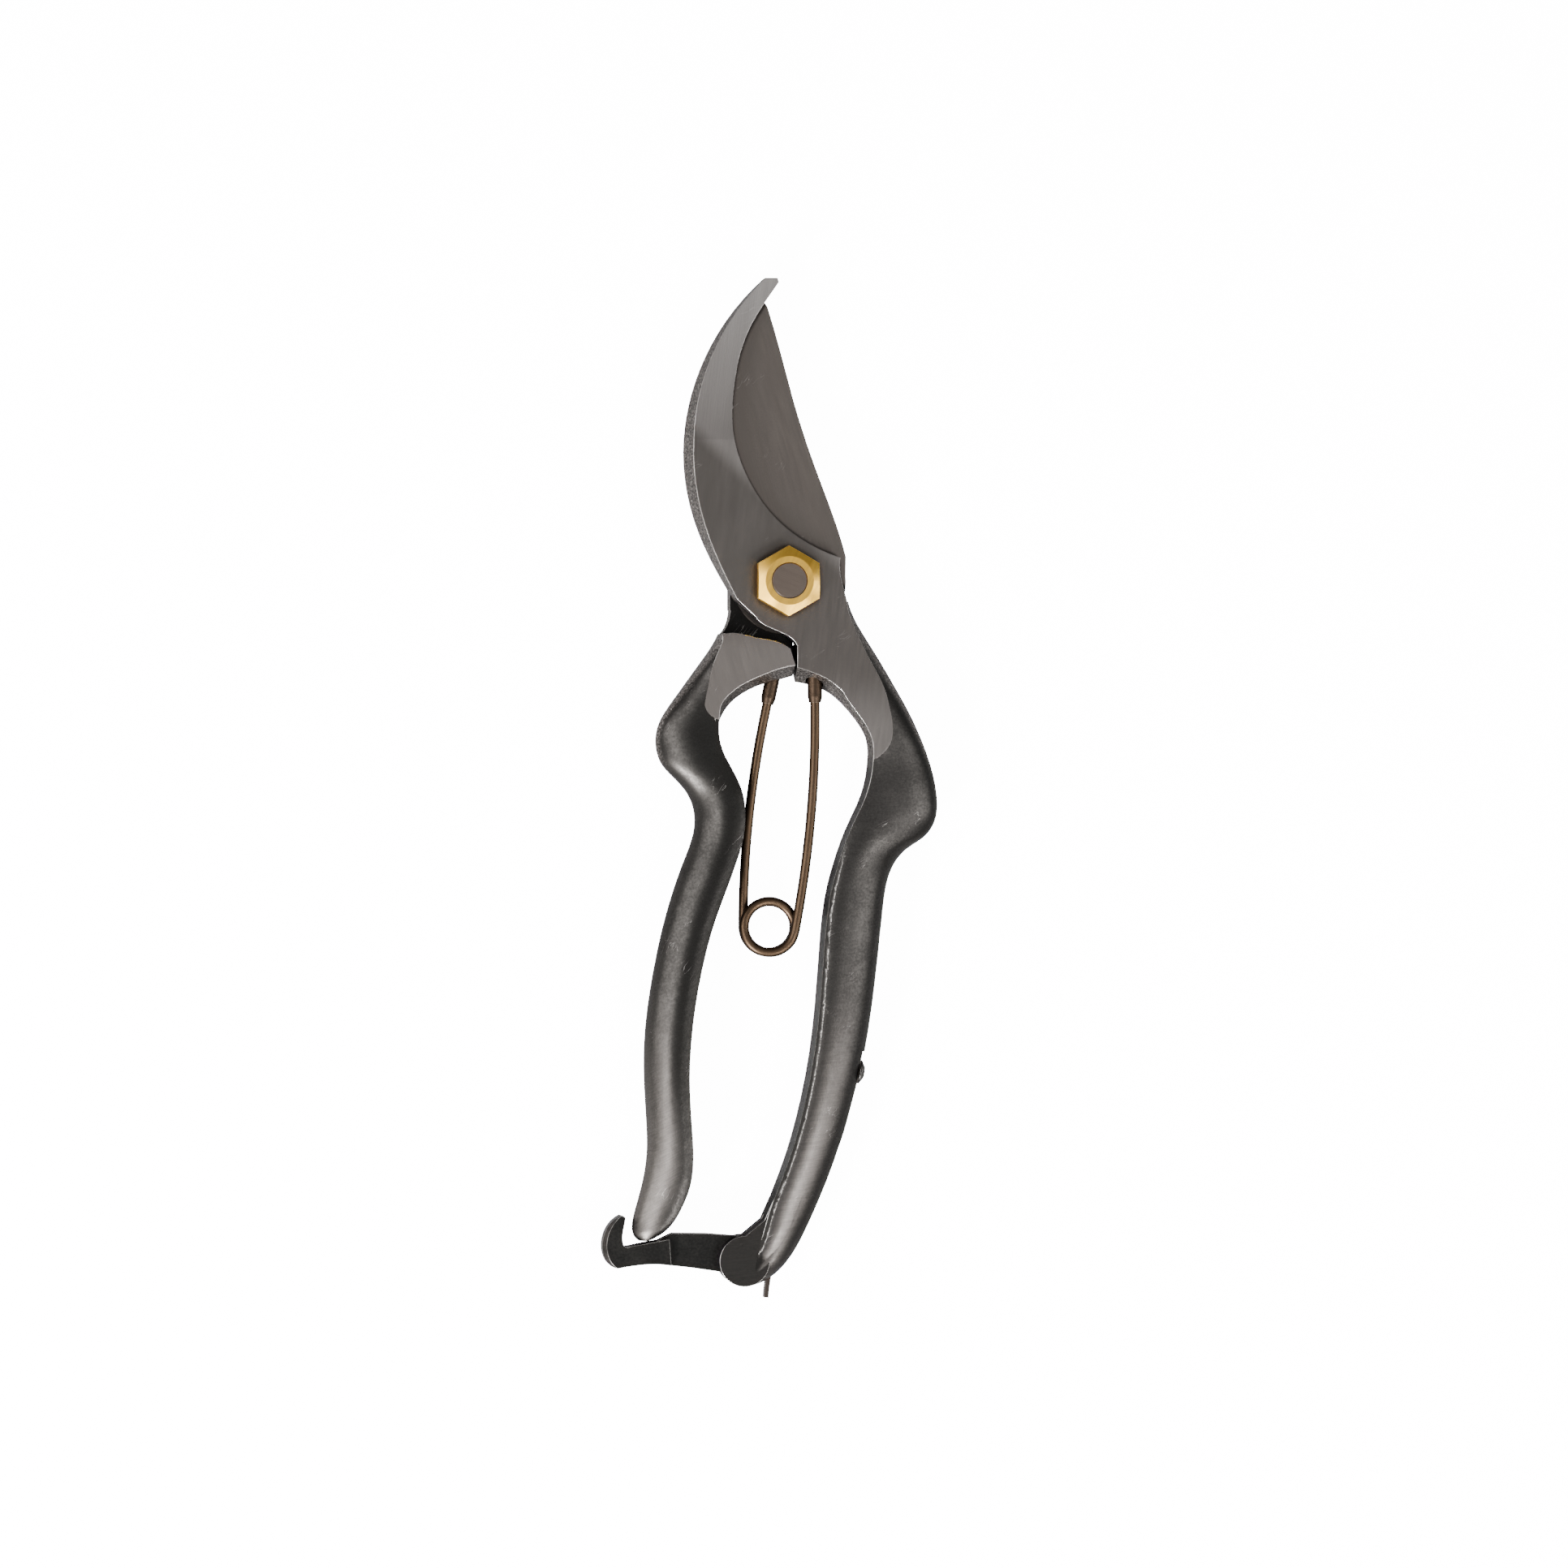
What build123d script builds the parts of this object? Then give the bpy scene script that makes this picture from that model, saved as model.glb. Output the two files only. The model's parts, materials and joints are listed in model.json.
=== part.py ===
"""Forged all-steel bypass pruning shears, closed and latched.

Millimetres. +X is right and +Y is towards the tips as seen from the nut side, +Z points out of
the nut side. The pivot axis is the Z axis and Z = 0 is the flat rear face of the bolt head.
The hook half is the front layer of the head and carries the right handle; the blade half is the
rear layer and carries the left handle.
"""
import os

import numpy as np
from build123d import *

os.makedirs("parts", exist_ok=True)

# ---- driving dimensions -------------------------------------------------------------------------
HEAD_LENGTH = 60.2          # pivot axis to the tip of the hook
TAIL_LENGTH = 139.6         # pivot axis to the end of the right handle
HEAD_HALF = 4.9             # half of the ground thickness of the head
GRIP_HALF = 5.0             # half of the thickness of the grips at their middle
FLANK_DROP = 0.12           # how far a domed grip's inner rim lies below its crown, as a share
CREST_PULL = 0.30           # how strongly the crown domes
CREST_SHIFT = 0.27          # and how far that moves it towards the flank, as a share of the width
SIDE_FULLNESS = 0.62        # how round the outer side is
DOME_RUN = 14.0             # length over which the crown becomes a dome
BLADE_THICKNESS = 3.8
LAP_GAP = 0.10              # running gap between the two halves at the shear plane

BOSS_RADIUS = 12.3          # rear boss of the blade half
BOSS_CLEARANCE = 0.35       # between that boss and the shoulder round it
BOSS_FLAT = 11.0            # from the pivot to the flat on its left side

BOLT_SHANK = 8.0
BOLT_END = 7.2              # threaded end, seen in the nut
BOLT_SQUARE = 8.0
BOLT_HEAD = 14.0
BOLT_HEAD_THICKNESS = 2.4
HEAD_RECESS = 0.8           # how deep the bolt head sits in the blade half
RUNNING_FIT = 0.05          # radial, for everything that turns on a pin or bolt
NUT_ACROSS_FLATS = 12.1
NUT_HEIGHT = 4.1
NUT_FLOAT = 0.05            # between the nut and the face that turns under it
NUT_FLAT = 4.8              # radius of the flat ring on top of the nut, inside its chamfer
NUT_SLOPE = 25.0            # degrees that the nut's chamfer falls outwards
END_CHAMFER = 0.25          # on the threaded end of the bolt

WIRE = 1.9
COIL_DIAMETER = 10.1        # to the middle of the wire
COIL_SPACE = 0.2            # between turns
WIRE_BEAD = 0.03            # over the wire's radius, where a leg joins the coil
FERRULE = 2.9
FERRULE_LENGTH = 6.4
FERRULE_DEPTH = 3.0         # how much of it is in the socket
FERRULE_TAPER = 1.2         # length over which its lower end draws in to the wire
FERRULE_CHAMFER = 0.3       # on its seated end
SOCKET_CLEARANCE = 0.25

PIN = 3.0
TONGUE_THICKNESS = 2.8
FORK_CLEARANCE = 0.2        # each side of the tongue
LATCH_THICKNESS = 6.0       # hook and bar
LEAF_THICKNESS = 0.9
LEAF_WIDTH = 2.6
RIVET_SHANK = 2.0
RIVET_HEAD = 4.6

# ---- motion, shared by the sockets and their clearance ------------------------------------------
OPENING = 28.0              # degrees between the halves
RIGHT_LEG_RATIO = 0.46      # right leg of the spring, per degree of opening
LEFT_LEG_RATIO = 0.38       # left leg against the right one, per degree of opening

# ---- places that follow from them ---------------------------------------------------------------
SHEAR_HEIGHT = HEAD_HALF + BOLT_HEAD_THICKNESS - HEAD_RECESS
FORK_HALF = TONGUE_THICKNESS / 2 + FORK_CLEARANCE
DRAWN_HEAD = 60.2           # head and tail as the outlines below are drawn
DRAWN_TAIL = 139.6
BOSS_TOP = 12.0             # the outlines stretch above this
GRIP_START = 62.0           # and between these two, below the pivot
GRIP_END = 92.0


def up(points):
    """Outline points of the head, stretched to the head length above the boss."""
    stretch = (HEAD_LENGTH - BOSS_TOP) / (DRAWN_HEAD - BOSS_TOP)
    return [(x, y if y < BOSS_TOP else BOSS_TOP + (y - BOSS_TOP) * stretch) for x, y in points]


def down(points):
    """Outline points of the tail: the middle of the grips takes up any change of length."""
    longer = TAIL_LENGTH - DRAWN_TAIL
    moved = []
    for x, y in points:
        share = min(max((-y - GRIP_START) / (GRIP_END - GRIP_START), 0.0), 1.0)
        moved.append((x, y - longer * share))
    return moved


def plan(height, *runs):
    """A closed outline at a height above the shear plane: runs of two points are straight."""
    with BuildSketch(Plane.XY.offset(SHEAR_HEIGHT + height)) as drawn:
        with BuildLine():
            for run in runs:
                if len(run) == 2:
                    Line(*run)
                else:
                    Spline(*run)
        make_face()
    return drawn.sketch


def joined(*points):
    """Straight runs through all the points."""
    return list(zip(points[:-1], points[1:]))


def rail(points):
    """A smooth line down a handle, as a function that gives x for a y."""
    line = Edge.make_spline([Vector(x, y, 0) for x, y in points])
    spots = [line.position_at(i / 400) for i in range(401)]
    ys = [-spot.Y for spot in spots]
    xs = [spot.X for spot in spots]
    return lambda y: float(np.interp(-y, ys, xs))


def grip_section(y, inner, outer, half, dome):
    """Section of a handle: a flat inner flank, and crowns that fall to the outside. With dome at 0
    the flank's rim is the highest place; with dome at 1 the crown rises a little beyond it."""
    rim = half * (1 - FLANK_DROP * dome)
    crest = half * (1 + CREST_PULL * dome)
    bend = inner + (outer - inner) * (SIDE_FULLNESS - CREST_SHIFT * dome)
    side = half * SIDE_FULLNESS
    cut = Plane(origin=(0, y, SHEAR_HEIGHT), x_dir=(1, 0, 0), z_dir=(0, -1, 0))
    with BuildSketch(cut) as drawn:
        with BuildLine():
            Line((inner, -rim), (inner, rim))
            Bezier((inner, rim), (bend, crest), (outer, side), (outer, 0))
            Bezier((outer, 0), (outer, -side), (bend, -crest), (inner, -rim))
        make_face()
    return drawn.sketch


def grip_sections(inner_points, outer_points, halves, stations, dome_start):
    """Sections of one handle at the stations, all measured down from the pivot; the crown begins
    to dome at dome_start, below the ground flat."""
    inner = rail(down(inner_points))
    outer = rail(down(outer_points))
    places, heights = zip(*halves)
    levels = [y for _, y in down([(0, -place) for place in places])]
    sections = []
    for _, y in down([(0, -station) for station in stations]):
        half = GRIP_HALF + float(np.interp(-y, [-level for level in levels], heights))
        dome = min(max((-y - dome_start) / DOME_RUN, 0.0), 1.0)
        sections.append(grip_section(y, inner(y), outer(y), half, dome))
    return sections


# ---- outlines: x and y from the pivot axis -------------------------------------------------------
HOOK_OUTER_TOP = up([(-4.1, 60.2), (-12.2, 49.6), (-17.2, 37.5), (-18.7, 25.0), (-16.9, 12.6),
                     (-13.3, 3.0), (-10.0, -3.6)])
HOOK_OUTER_LOW = up([(-4.3, 60.2), (-13.2, 49.6), (-18.7, 37.0), (-20.3, 25.3), (-18.3, 12.6),
                     (-14.2, 3.0), (-10.3, -3.6)])
HOOK_INNER = up([(10.6, 4.7), (4.4, 7.4), (-1.9, 12.1), (-7.6, 19.9), (-10.7, 29.1),
                 (-10.7, 37.3), (-7.6, 49.7), (-4.1, 55.6), (-1.5, 59.3)])
HOOK_TIP = up([(-1.7, 60.2), (-4.1, 60.2), (-4.3, 60.2)])
HOOK_BOSS = [(-10.0, -3.6), (-6.3, -7.1), (-1.35, -10.1), (1.15, -11.6), (2.0, -12.8)]
HOOK_FACE_X = 2.0           # face that meets the other half, below the boss
NECK_FACE_X = 1.6
HOOK_NECK = [(18.2, -31.5), (18.9, -28.4), (18.5, -24.4), (17.2, -20.2), (15.2, -16.1),
             (13.0, -11.0), (12.2, -6.5)]
HOOK_RIGHT = [(12.2, -6.5), (11.9, -3.9), (10.7, 0.8), (10.6, 4.7)]
HOOK_THROAT_TOP = [(HOOK_FACE_X, -17.1), (5.4, -18.2), (8.5, -19.7), (11.5, -22.3),
                   (14.1, -25.3), (16.3, -28.4), (17.3, -32.0)]
HOOK_THROAT_LOW = [(HOOK_FACE_X, -19.9), (5.4, -20.6), (8.5, -21.9), (11.3, -24.2),
                   (13.6, -26.8), (15.5, -29.6), (16.8, -33.0)]

BLADE_SPINE = up([(-3.4, 54.6), (-1.4, 47.9), (2.1, 35.0), (6.4, 22.1), (11.1, 9.2), (12.3, 5.0)])
BLADE_EDGE = up([(-5.0, 57.0), (-10.0, 50.4), (-12.7, 41.5), (-13.1, 33.2), (-11.9, 24.5),
                 (-9.0, 17.6), (-6.0, 10.4)])
BLADE_GROUND = up([(-4.4, 55.8), (-6.0, 49.4), (-6.8, 41.0), (-6.9, 33.2), (-5.8, 25.4),
                   (-3.2, 18.0), (-3.4, 9.0)])
BLADE_ROOT = (0.0, 0.0)
BLADE_HEEL = (BOSS_RADIUS - 0.1, 0.0)

BLADE_NECK = [(-10.6, -3.0), (-10.8, -5.6), (-11.4, -8.4), (-13.0, -10.7)]
NECK_SIDE = [(-13.0, -10.7), (-13.2, -15.0), (-14.2, -20.0), (-14.5, -25.0), (-14.4, -27.6)]
NECK_INSIDE = (NECK_FACE_X, -8.0)
SHOULDER = [(-13.0, -10.7), (-11.5, -10.3), (-6.3, -11.2), (-2.4, -11.9), (0.6, -13.4)]
BLADE_THROAT_TOP = [(NECK_FACE_X, -16.7), (-1.3, -17.3), (-4.6, -18.5), (-8.3, -20.2),
                    (-10.5, -21.6), (-12.4, -23.4), (-13.7, -26.4)]
BLADE_THROAT_LOW = [(NECK_FACE_X, -18.7), (-1.3, -19.5), (-4.6, -20.4), (-8.1, -22.0),
                    (-10.2, -23.5), (-12.0, -25.6), (-13.3, -28.6)]

RIGHT_INNER = [(8.0, -4.0), (8.0, -10.0), (9.4, -18.0), (12.4, -24.0), (15.6, -28.4),
               (17.1, -32.4), (17.1, -36.0), (15.9, -42.0), (12.8, -48.9), (10.4, -55.4),
               (8.7, -61.8), (7.5, -71.5), (6.5, -84.4), (4.8, -97.3), (1.8, -110.2),
               (-0.6, -117.5), (-3.3, -124.5), (-5.2, -131.0), (-8.5, -138.6), (-8.9, -139.6)]
RIGHT_OUTER = [(12.6, -4.0), (13.7, -6.9), (17.6, -13.4), (21.5, -19.9), (25.1, -26.3),
               (28.0, -32.8), (30.0, -39.2), (30.6, -43.5), (30.2, -47.4), (27.9, -50.8),
               (23.8, -53.7), (21.0, -58.2), (19.7, -65.0), (18.3, -78.0), (16.5, -90.9),
               (13.7, -103.8), (9.7, -116.7), (4.1, -129.6), (0.2, -135.8), (-2.8, -138.3),
               (-5.8, -139.6)]
RIGHT_HALVES = [(4.0, 3.1), (9.0, 2.0), (20.0, 2.0), (24.4, 1.2), (28.4, 0.5), (32.1, 0.1),
                (36.0, -0.15), (65.0, 0.1), (110.0, 0.0), (130.0, -0.3), (139.6, -1.2)]
RIGHT_STATIONS = [4, 8, 12, 16, 20, 24, 28, 32, 36, 40, 43.5, 46.5, 49, 51, 53, 56, 60, 65, 72,
                  80, 88, 96, 104, 112, 119, 125, 130, 133.5, 136.5, 138.6, 139.6]

LEFT_INNER = [(-11.4, -10.4), (-11.6, -16.0), (-12.2, -20.0), (-13.2, -24.4), (-13.6, -28.4),
              (-13.1, -32.8), (-11.5, -36.2), (-9.9, -39.2), (-8.7, -42.4), (-8.3, -46.5),
              (-8.6, -50.5), (-9.7, -54.6), (-11.2, -59.0), (-13.5, -65.0), (-17.1, -78.0),
              (-19.0, -90.9), (-19.2, -103.8), (-18.6, -113.0), (-19.1, -119.4), (-21.3, -125.0),
              (-23.6, -128.3), (-25.9, -130.0), (-27.4, -130.7)]
LEFT_OUTER = [(-13.3, -10.4), (-15.0, -13.4), (-17.3, -16.6), (-22.0, -23.1), (-24.2, -26.3),
              (-25.6, -29.5), (-25.8, -32.4), (-24.9, -35.8), (-22.4, -38.8), (-19.6, -42.0),
              (-18.2, -45.7), (-18.2, -49.4), (-19.8, -54.4), (-23.0, -63.5), (-26.4, -78.0),
              (-28.1, -92.0), (-27.8, -105.0), (-27.6, -113.5), (-28.9, -121.0), (-30.2, -125.8),
              (-30.5, -128.4), (-30.0, -130.0), (-29.2, -130.7)]
LEFT_HALVES = [(10.4, 0.8), (16.0, 0.7), (20.2, 0.3), (24.5, 0.1), (27.5, -0.15), (60.0, 0.0),
               (100.0, -0.1), (120.0, -0.6), (128.0, -1.2), (130.7, -2.4)]
LEFT_STATIONS = [10.4, 13, 16, 19, 22, 25, 28, 31, 34, 36.5, 39, 42, 45, 48.5, 52, 56, 61, 67,
                 75, 83, 91, 99, 107, 114, 120, 124.5, 127.5, 129.4, 130.7]
RIGHT_DOME_START = 36.0
LEFT_DOME_START = 28.0
GROUND_END = 37.0           # the grinding of the head stops this far below the pivot

HOOK_SLOPE_START = 28.0     # the front of the hook thins from here to its tip
HOOK_TIP_THICKNESS = 3.0

LATCH_PIN = down([(-8.4, -134.8)])[0]
NOSE_RADIUS = 5.0
NOSE_HALF = 4.1
NOSE_FILL = down([(-2.6, -122.4), (-4.5, -126.7), (-8.4, -129.9), (-8.4, -134.8), (-2.0, -131.0)])
FORK = down([(-20.0, -126.4), (-5.0, -126.4), (2.6, -120.6), (6.9, -116.2), (10.0, -110.2),
             (12.1, -103.8), (13.8, -97.3), (14.3, -93.4), (24.0, -93.4), (24.0, -146.0),
             (-20.0, -146.0)])
LEAF_PATH = down([(14.85, -94.2), (14.4, -97.3), (12.8, -103.8), (11.0, -110.2), (8.4, -116.4),
                  (4.6, -123.0), (0.4, -129.6), (-2.4, -134.8), (-3.4, -138.6), (-3.8, -142.2)])
RIVET_SPOT = down([(14.9, -97.5)])[0]
RIVET_SLOPE = 10.0          # degrees that the back of the handle leans there
RIVET_PLANE = Plane(origin=(RIVET_SPOT[0], RIVET_SPOT[1], SHEAR_HEIGHT), x_dir=(0, 0, 1),
                    z_dir=(np.cos(np.radians(RIVET_SLOPE)), -np.sin(np.radians(RIVET_SLOPE)), 0))
RIVET_LENGTH = 4.5
RIVET_HEAD_HEIGHT = 1.0
RIVET_DOME = 0.7            # the share of the head's height that its slope takes
PIN_TOP = 2.9               # the blind end of the pin hole over the shear plane
TONGUE_EYE = 3.9
LATCH_CHAMFER = 0.8
LEFT_SOCKET_TURN = OPENING * (1 - RIGHT_LEG_RATIO + LEFT_LEG_RATIO)
LEFT_SOCKET_CLEARANCE = SOCKET_CLEARANCE + 0.25     # constant ratios miss the true path by this

TONGUE = down([(-8.4, -130.0), (-15.8, -129.4), (-22.6, -129.3), (-24.6, -130.2), (-30.5, -133.5),
               (-24.0, -135.5), (-18.3, -136.2), (-13.0, -137.0), (-8.4, -138.6)])
LATCH_BACK = down([(-32.9, -125.7), (-35.0, -127.3), (-36.3, -130.0), (-36.4, -132.9),
                   (-35.4, -135.1), (-33.6, -136.1)])
LATCH_BACK_RIM = down([(-32.9, -125.7), (-34.6, -127.7), (-35.6, -130.2), (-35.6, -132.8),
                       (-34.9, -134.7), (-33.6, -136.1)])
LATCH_UNDER = down([(-33.6, -136.1), (-30.6, -135.6), (-27.2, -135.3), (-22.9, -135.6)])
LATCH_STEP = down([(-22.9, -135.6), (-23.3, -130.4)])
LATCH_TOP = down([(-23.3, -130.4), (-27.8, -131.2), (-31.0, -131.8)])
LATCH_NOTCH = down([(-31.0, -131.8), (-32.2, -131.7), (-32.6, -130.4), (-32.4, -128.2),
                    (-32.0, -126.0)])
LATCH_NIB = down([(-32.0, -126.0), (-32.9, -125.7)])

COIL_SIDE = -8.15           # left side of the coil, beside the left handle
COIL_CENTRE = (COIL_SIDE + COIL_DIAMETER / 2, -68.6)
RIGHT_LEG_ANGLE = -11.0     # where the right leg leaves the coil
LEFT_LEG_ANGLE = -540.0     # where the left leg leaves it, one and a half turns on
COIL_SPLIT = -371.0         # the wire is cut here, behind the right leg
COIL_SPLIT_GAP = 15.0       # room for the left leg's turn against the right one
COIL_PITCH = WIRE + COIL_SPACE
RIGHT_LEG_TOP = (5.9, -25.8)
LEFT_LEG_TOP = (-3.7, -26.0)


def wire_height(angle):
    """Height of the middle of the wire over the shear plane, at an angle round the coil."""
    middle = (RIGHT_LEG_ANGLE + LEFT_LEG_ANGLE) / 2
    return COIL_PITCH * (angle - middle) / 360


def leg_line(angle, top, reach):
    """One leg: an arc that leaves the coil smoothly, then a straight end of a given length."""
    turn = np.radians(angle)
    start = (COIL_CENTRE[0] + COIL_DIAMETER / 2 * np.cos(turn),
             COIL_CENTRE[1] + COIL_DIAMETER / 2 * np.sin(turn))
    away = (-np.sin(turn), np.cos(turn)) if np.cos(turn) > 0 else (np.sin(turn), -np.cos(turn))
    with BuildLine() as drawn:
        bow = TangentArc(start, top, tangent=away)
        Line(bow @ 1, (bow @ 1) + (bow % 1) * reach)
    return Pos(0, 0, SHEAR_HEIGHT + wire_height(angle)) * drawn.line


def end_of(line, back=0.0):
    """Place and direction at the top end of a leg, some way back from the end."""
    straight = line.edges().sort_by(Axis.Y)[-1]
    tip = max((straight @ 0, straight @ 1), key=lambda spot: spot.Y)
    other = min((straight @ 0, straight @ 1), key=lambda spot: spot.Y)
    along = (tip - other).normalized()
    return tip - along * back, along


LEG_STRAIGHT = 8.2
RIGHT_LEG = leg_line(RIGHT_LEG_ANGLE, RIGHT_LEG_TOP, LEG_STRAIGHT)
LEFT_LEG = leg_line(LEFT_LEG_ANGLE, LEFT_LEG_TOP, LEG_STRAIGHT)


def socket_planes(line, turn, steps):
    """Planes for a socket that lets a ferrule turn about the middle of its seated length."""
    centre, along = end_of(line, FERRULE_DEPTH / 2)
    planes = []
    for step in range(steps + 1):
        lean = along.rotate(Axis.Z, turn * step / steps)
        planes.append(Plane(origin=centre, z_dir=lean))
    return planes


def coil_part(low, high):
    """A stretch of the coil between two angles, as a path."""
    size = high - low
    helix = Helix(pitch=COIL_PITCH, height=COIL_PITCH * size / 360, radius=COIL_DIAMETER / 2,
                  mode=Mode.PRIVATE)
    lift = SHEAR_HEIGHT + wire_height(low)
    return Pos(COIL_CENTRE[0], COIL_CENTRE[1], lift) * Rot(0, 0, low) * helix


# ---- hook half: hook, boss and right handle ------------------------------------------------------
def hook_front(height, outer, throat):
    """Outline of the hook, boss and front of the neck."""
    return plan(height, outer, (outer[-1], HOOK_BOSS[1]), HOOK_BOSS[1:],
                (HOOK_BOSS[-1], throat[0]), throat, (throat[-1], HOOK_NECK[0]), HOOK_NECK,
                HOOK_RIGHT, HOOK_INNER, (HOOK_INNER[-1], HOOK_TIP[0]), (HOOK_TIP[0], outer[0]))


def hook_rear(height, throat):
    """Outline of the shoulder of the hook half, behind the shear plane."""
    start = (HOOK_FACE_X, -BOSS_RADIUS / 2)
    return plan(height, (start, throat[0]), throat, (throat[-1], HOOK_NECK[0]), HOOK_NECK,
                (HOOK_NECK[-1], start))


def ground_planes():
    """The slabs that grinding takes off both faces of the head."""
    size = 2 * (HEAD_LENGTH + TAIL_LENGTH)
    middle = size / 2 - GROUND_END
    depth = 4 * HEAD_HALF
    slab = Box(size, size, depth, mode=Mode.PRIVATE)
    return [Pos(0, middle, SHEAR_HEIGHT + side * (HEAD_HALF + depth / 2)) * slab
            for side in (-1, 1)]


with BuildPart() as hook_half:
    loft(sections=[hook_front(LAP_GAP / 2, HOOK_OUTER_LOW, HOOK_THROAT_LOW),
                   hook_front(HEAD_HALF, HOOK_OUTER_TOP, HOOK_THROAT_TOP)], ruled=True)
    loft(sections=[hook_rear(-HEAD_HALF, HOOK_THROAT_TOP),
                   hook_rear(LAP_GAP / 2, HOOK_THROAT_LOW)], ruled=True)
    loft(sections=grip_sections(RIGHT_INNER, RIGHT_OUTER, RIGHT_HALVES, RIGHT_STATIONS,
                                RIGHT_DOME_START))
    add(ground_planes(), mode=Mode.SUBTRACT)
    # round clearance for the boss of the other half, and the thinning of the hook
    with BuildSketch(Plane.XY.offset(SHEAR_HEIGHT + LAP_GAP / 2)):
        Circle(BOSS_RADIUS + BOSS_CLEARANCE)
    extrude(amount=-2 * HEAD_HALF, mode=Mode.SUBTRACT)
    with BuildSketch(Plane.YZ) as slope:
        with BuildLine():
            Polyline((HOOK_SLOPE_START, SHEAR_HEIGHT + HEAD_HALF),
                     (HEAD_LENGTH + 1, SHEAR_HEIGHT + HOOK_TIP_THICKNESS),
                     (HEAD_LENGTH + 1, SHEAR_HEIGHT + HEAD_HALF + 1),
                     (HOOK_SLOPE_START, SHEAR_HEIGHT + HEAD_HALF + 1), close=True)
        make_face()
    extrude(amount=HEAD_LENGTH, both=True, mode=Mode.SUBTRACT)
    # rounded nose that carries the latch
    nose = plan(-NOSE_HALF, *joined(*NOSE_FILL, NOSE_FILL[0]))
    extrude(to_extrude=nose, amount=2 * NOSE_HALF)
    with BuildSketch(Plane.XY.offset(SHEAR_HEIGHT - NOSE_HALF)):
        with Locations(LATCH_PIN):
            Circle(NOSE_RADIUS)
    extrude(amount=2 * NOSE_HALF)
    # bore for the bolt, socket for the spring, fork, pin hole and rivet hole
    with BuildSketch(Plane.XY.offset(SHEAR_HEIGHT - HEAD_HALF)):
        Circle(BOLT_SHANK / 2 + RUNNING_FIT)
    extrude(amount=3 * HEAD_HALF, mode=Mode.SUBTRACT)
    for seat in socket_planes(RIGHT_LEG, -OPENING * RIGHT_LEG_RATIO, 2):
        with BuildSketch(seat.offset(-2 * FERRULE_DEPTH)):
            Circle(FERRULE / 2 + SOCKET_CLEARANCE)
        extrude(amount=2 * FERRULE_DEPTH + FERRULE_DEPTH / 2 + SOCKET_CLEARANCE,
                mode=Mode.SUBTRACT)
    extrude(to_extrude=plan(-FORK_HALF, *joined(*FORK, FORK[0])), amount=2 * FORK_HALF,
            mode=Mode.SUBTRACT)
    with BuildSketch(Plane.XY.offset(SHEAR_HEIGHT + PIN_TOP)):
        with Locations(LATCH_PIN):
            Circle(PIN / 2)
    extrude(amount=-2 * HEAD_HALF, mode=Mode.SUBTRACT)
    with BuildSketch(RIVET_PLANE):
        Circle(RIVET_SHANK / 2)
    extrude(amount=-RIVET_LENGTH, mode=Mode.SUBTRACT)
    with BuildSketch(RIVET_PLANE):
        Circle(RIVET_HEAD / 2 + RUNNING_FIT)
    extrude(amount=RIVET_HEAD, mode=Mode.SUBTRACT)

# ---- blade half: blade, boss and left handle -----------------------------------------------------
def blade_outline(height, edge):
    """The blade from its tip to the boss, with its cutting edge where it is at that height."""
    heel = [BLADE_SPINE[-1], BLADE_HEEL, BLADE_ROOT, edge[-1]]
    return plan(height, edge[::-1], (edge[0], BLADE_SPINE[0]), BLADE_SPINE, *joined(*heel))


def blade_rear(height, throat):
    """Outline of the neck that joins the boss to the left handle."""
    return plan(height, BLADE_NECK, NECK_SIDE, (NECK_SIDE[-1], throat[-1]), throat[::-1],
                (throat[0], NECK_INSIDE), (NECK_INSIDE, BLADE_NECK[0]))


def blade_front(height, throat):
    """Outline of the shoulder of the blade half, in front of the shear plane."""
    return plan(height, SHOULDER, (SHOULDER[-1], throat[0]), throat, (throat[-1], NECK_SIDE[-1]),
                NECK_SIDE[::-1])


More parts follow.
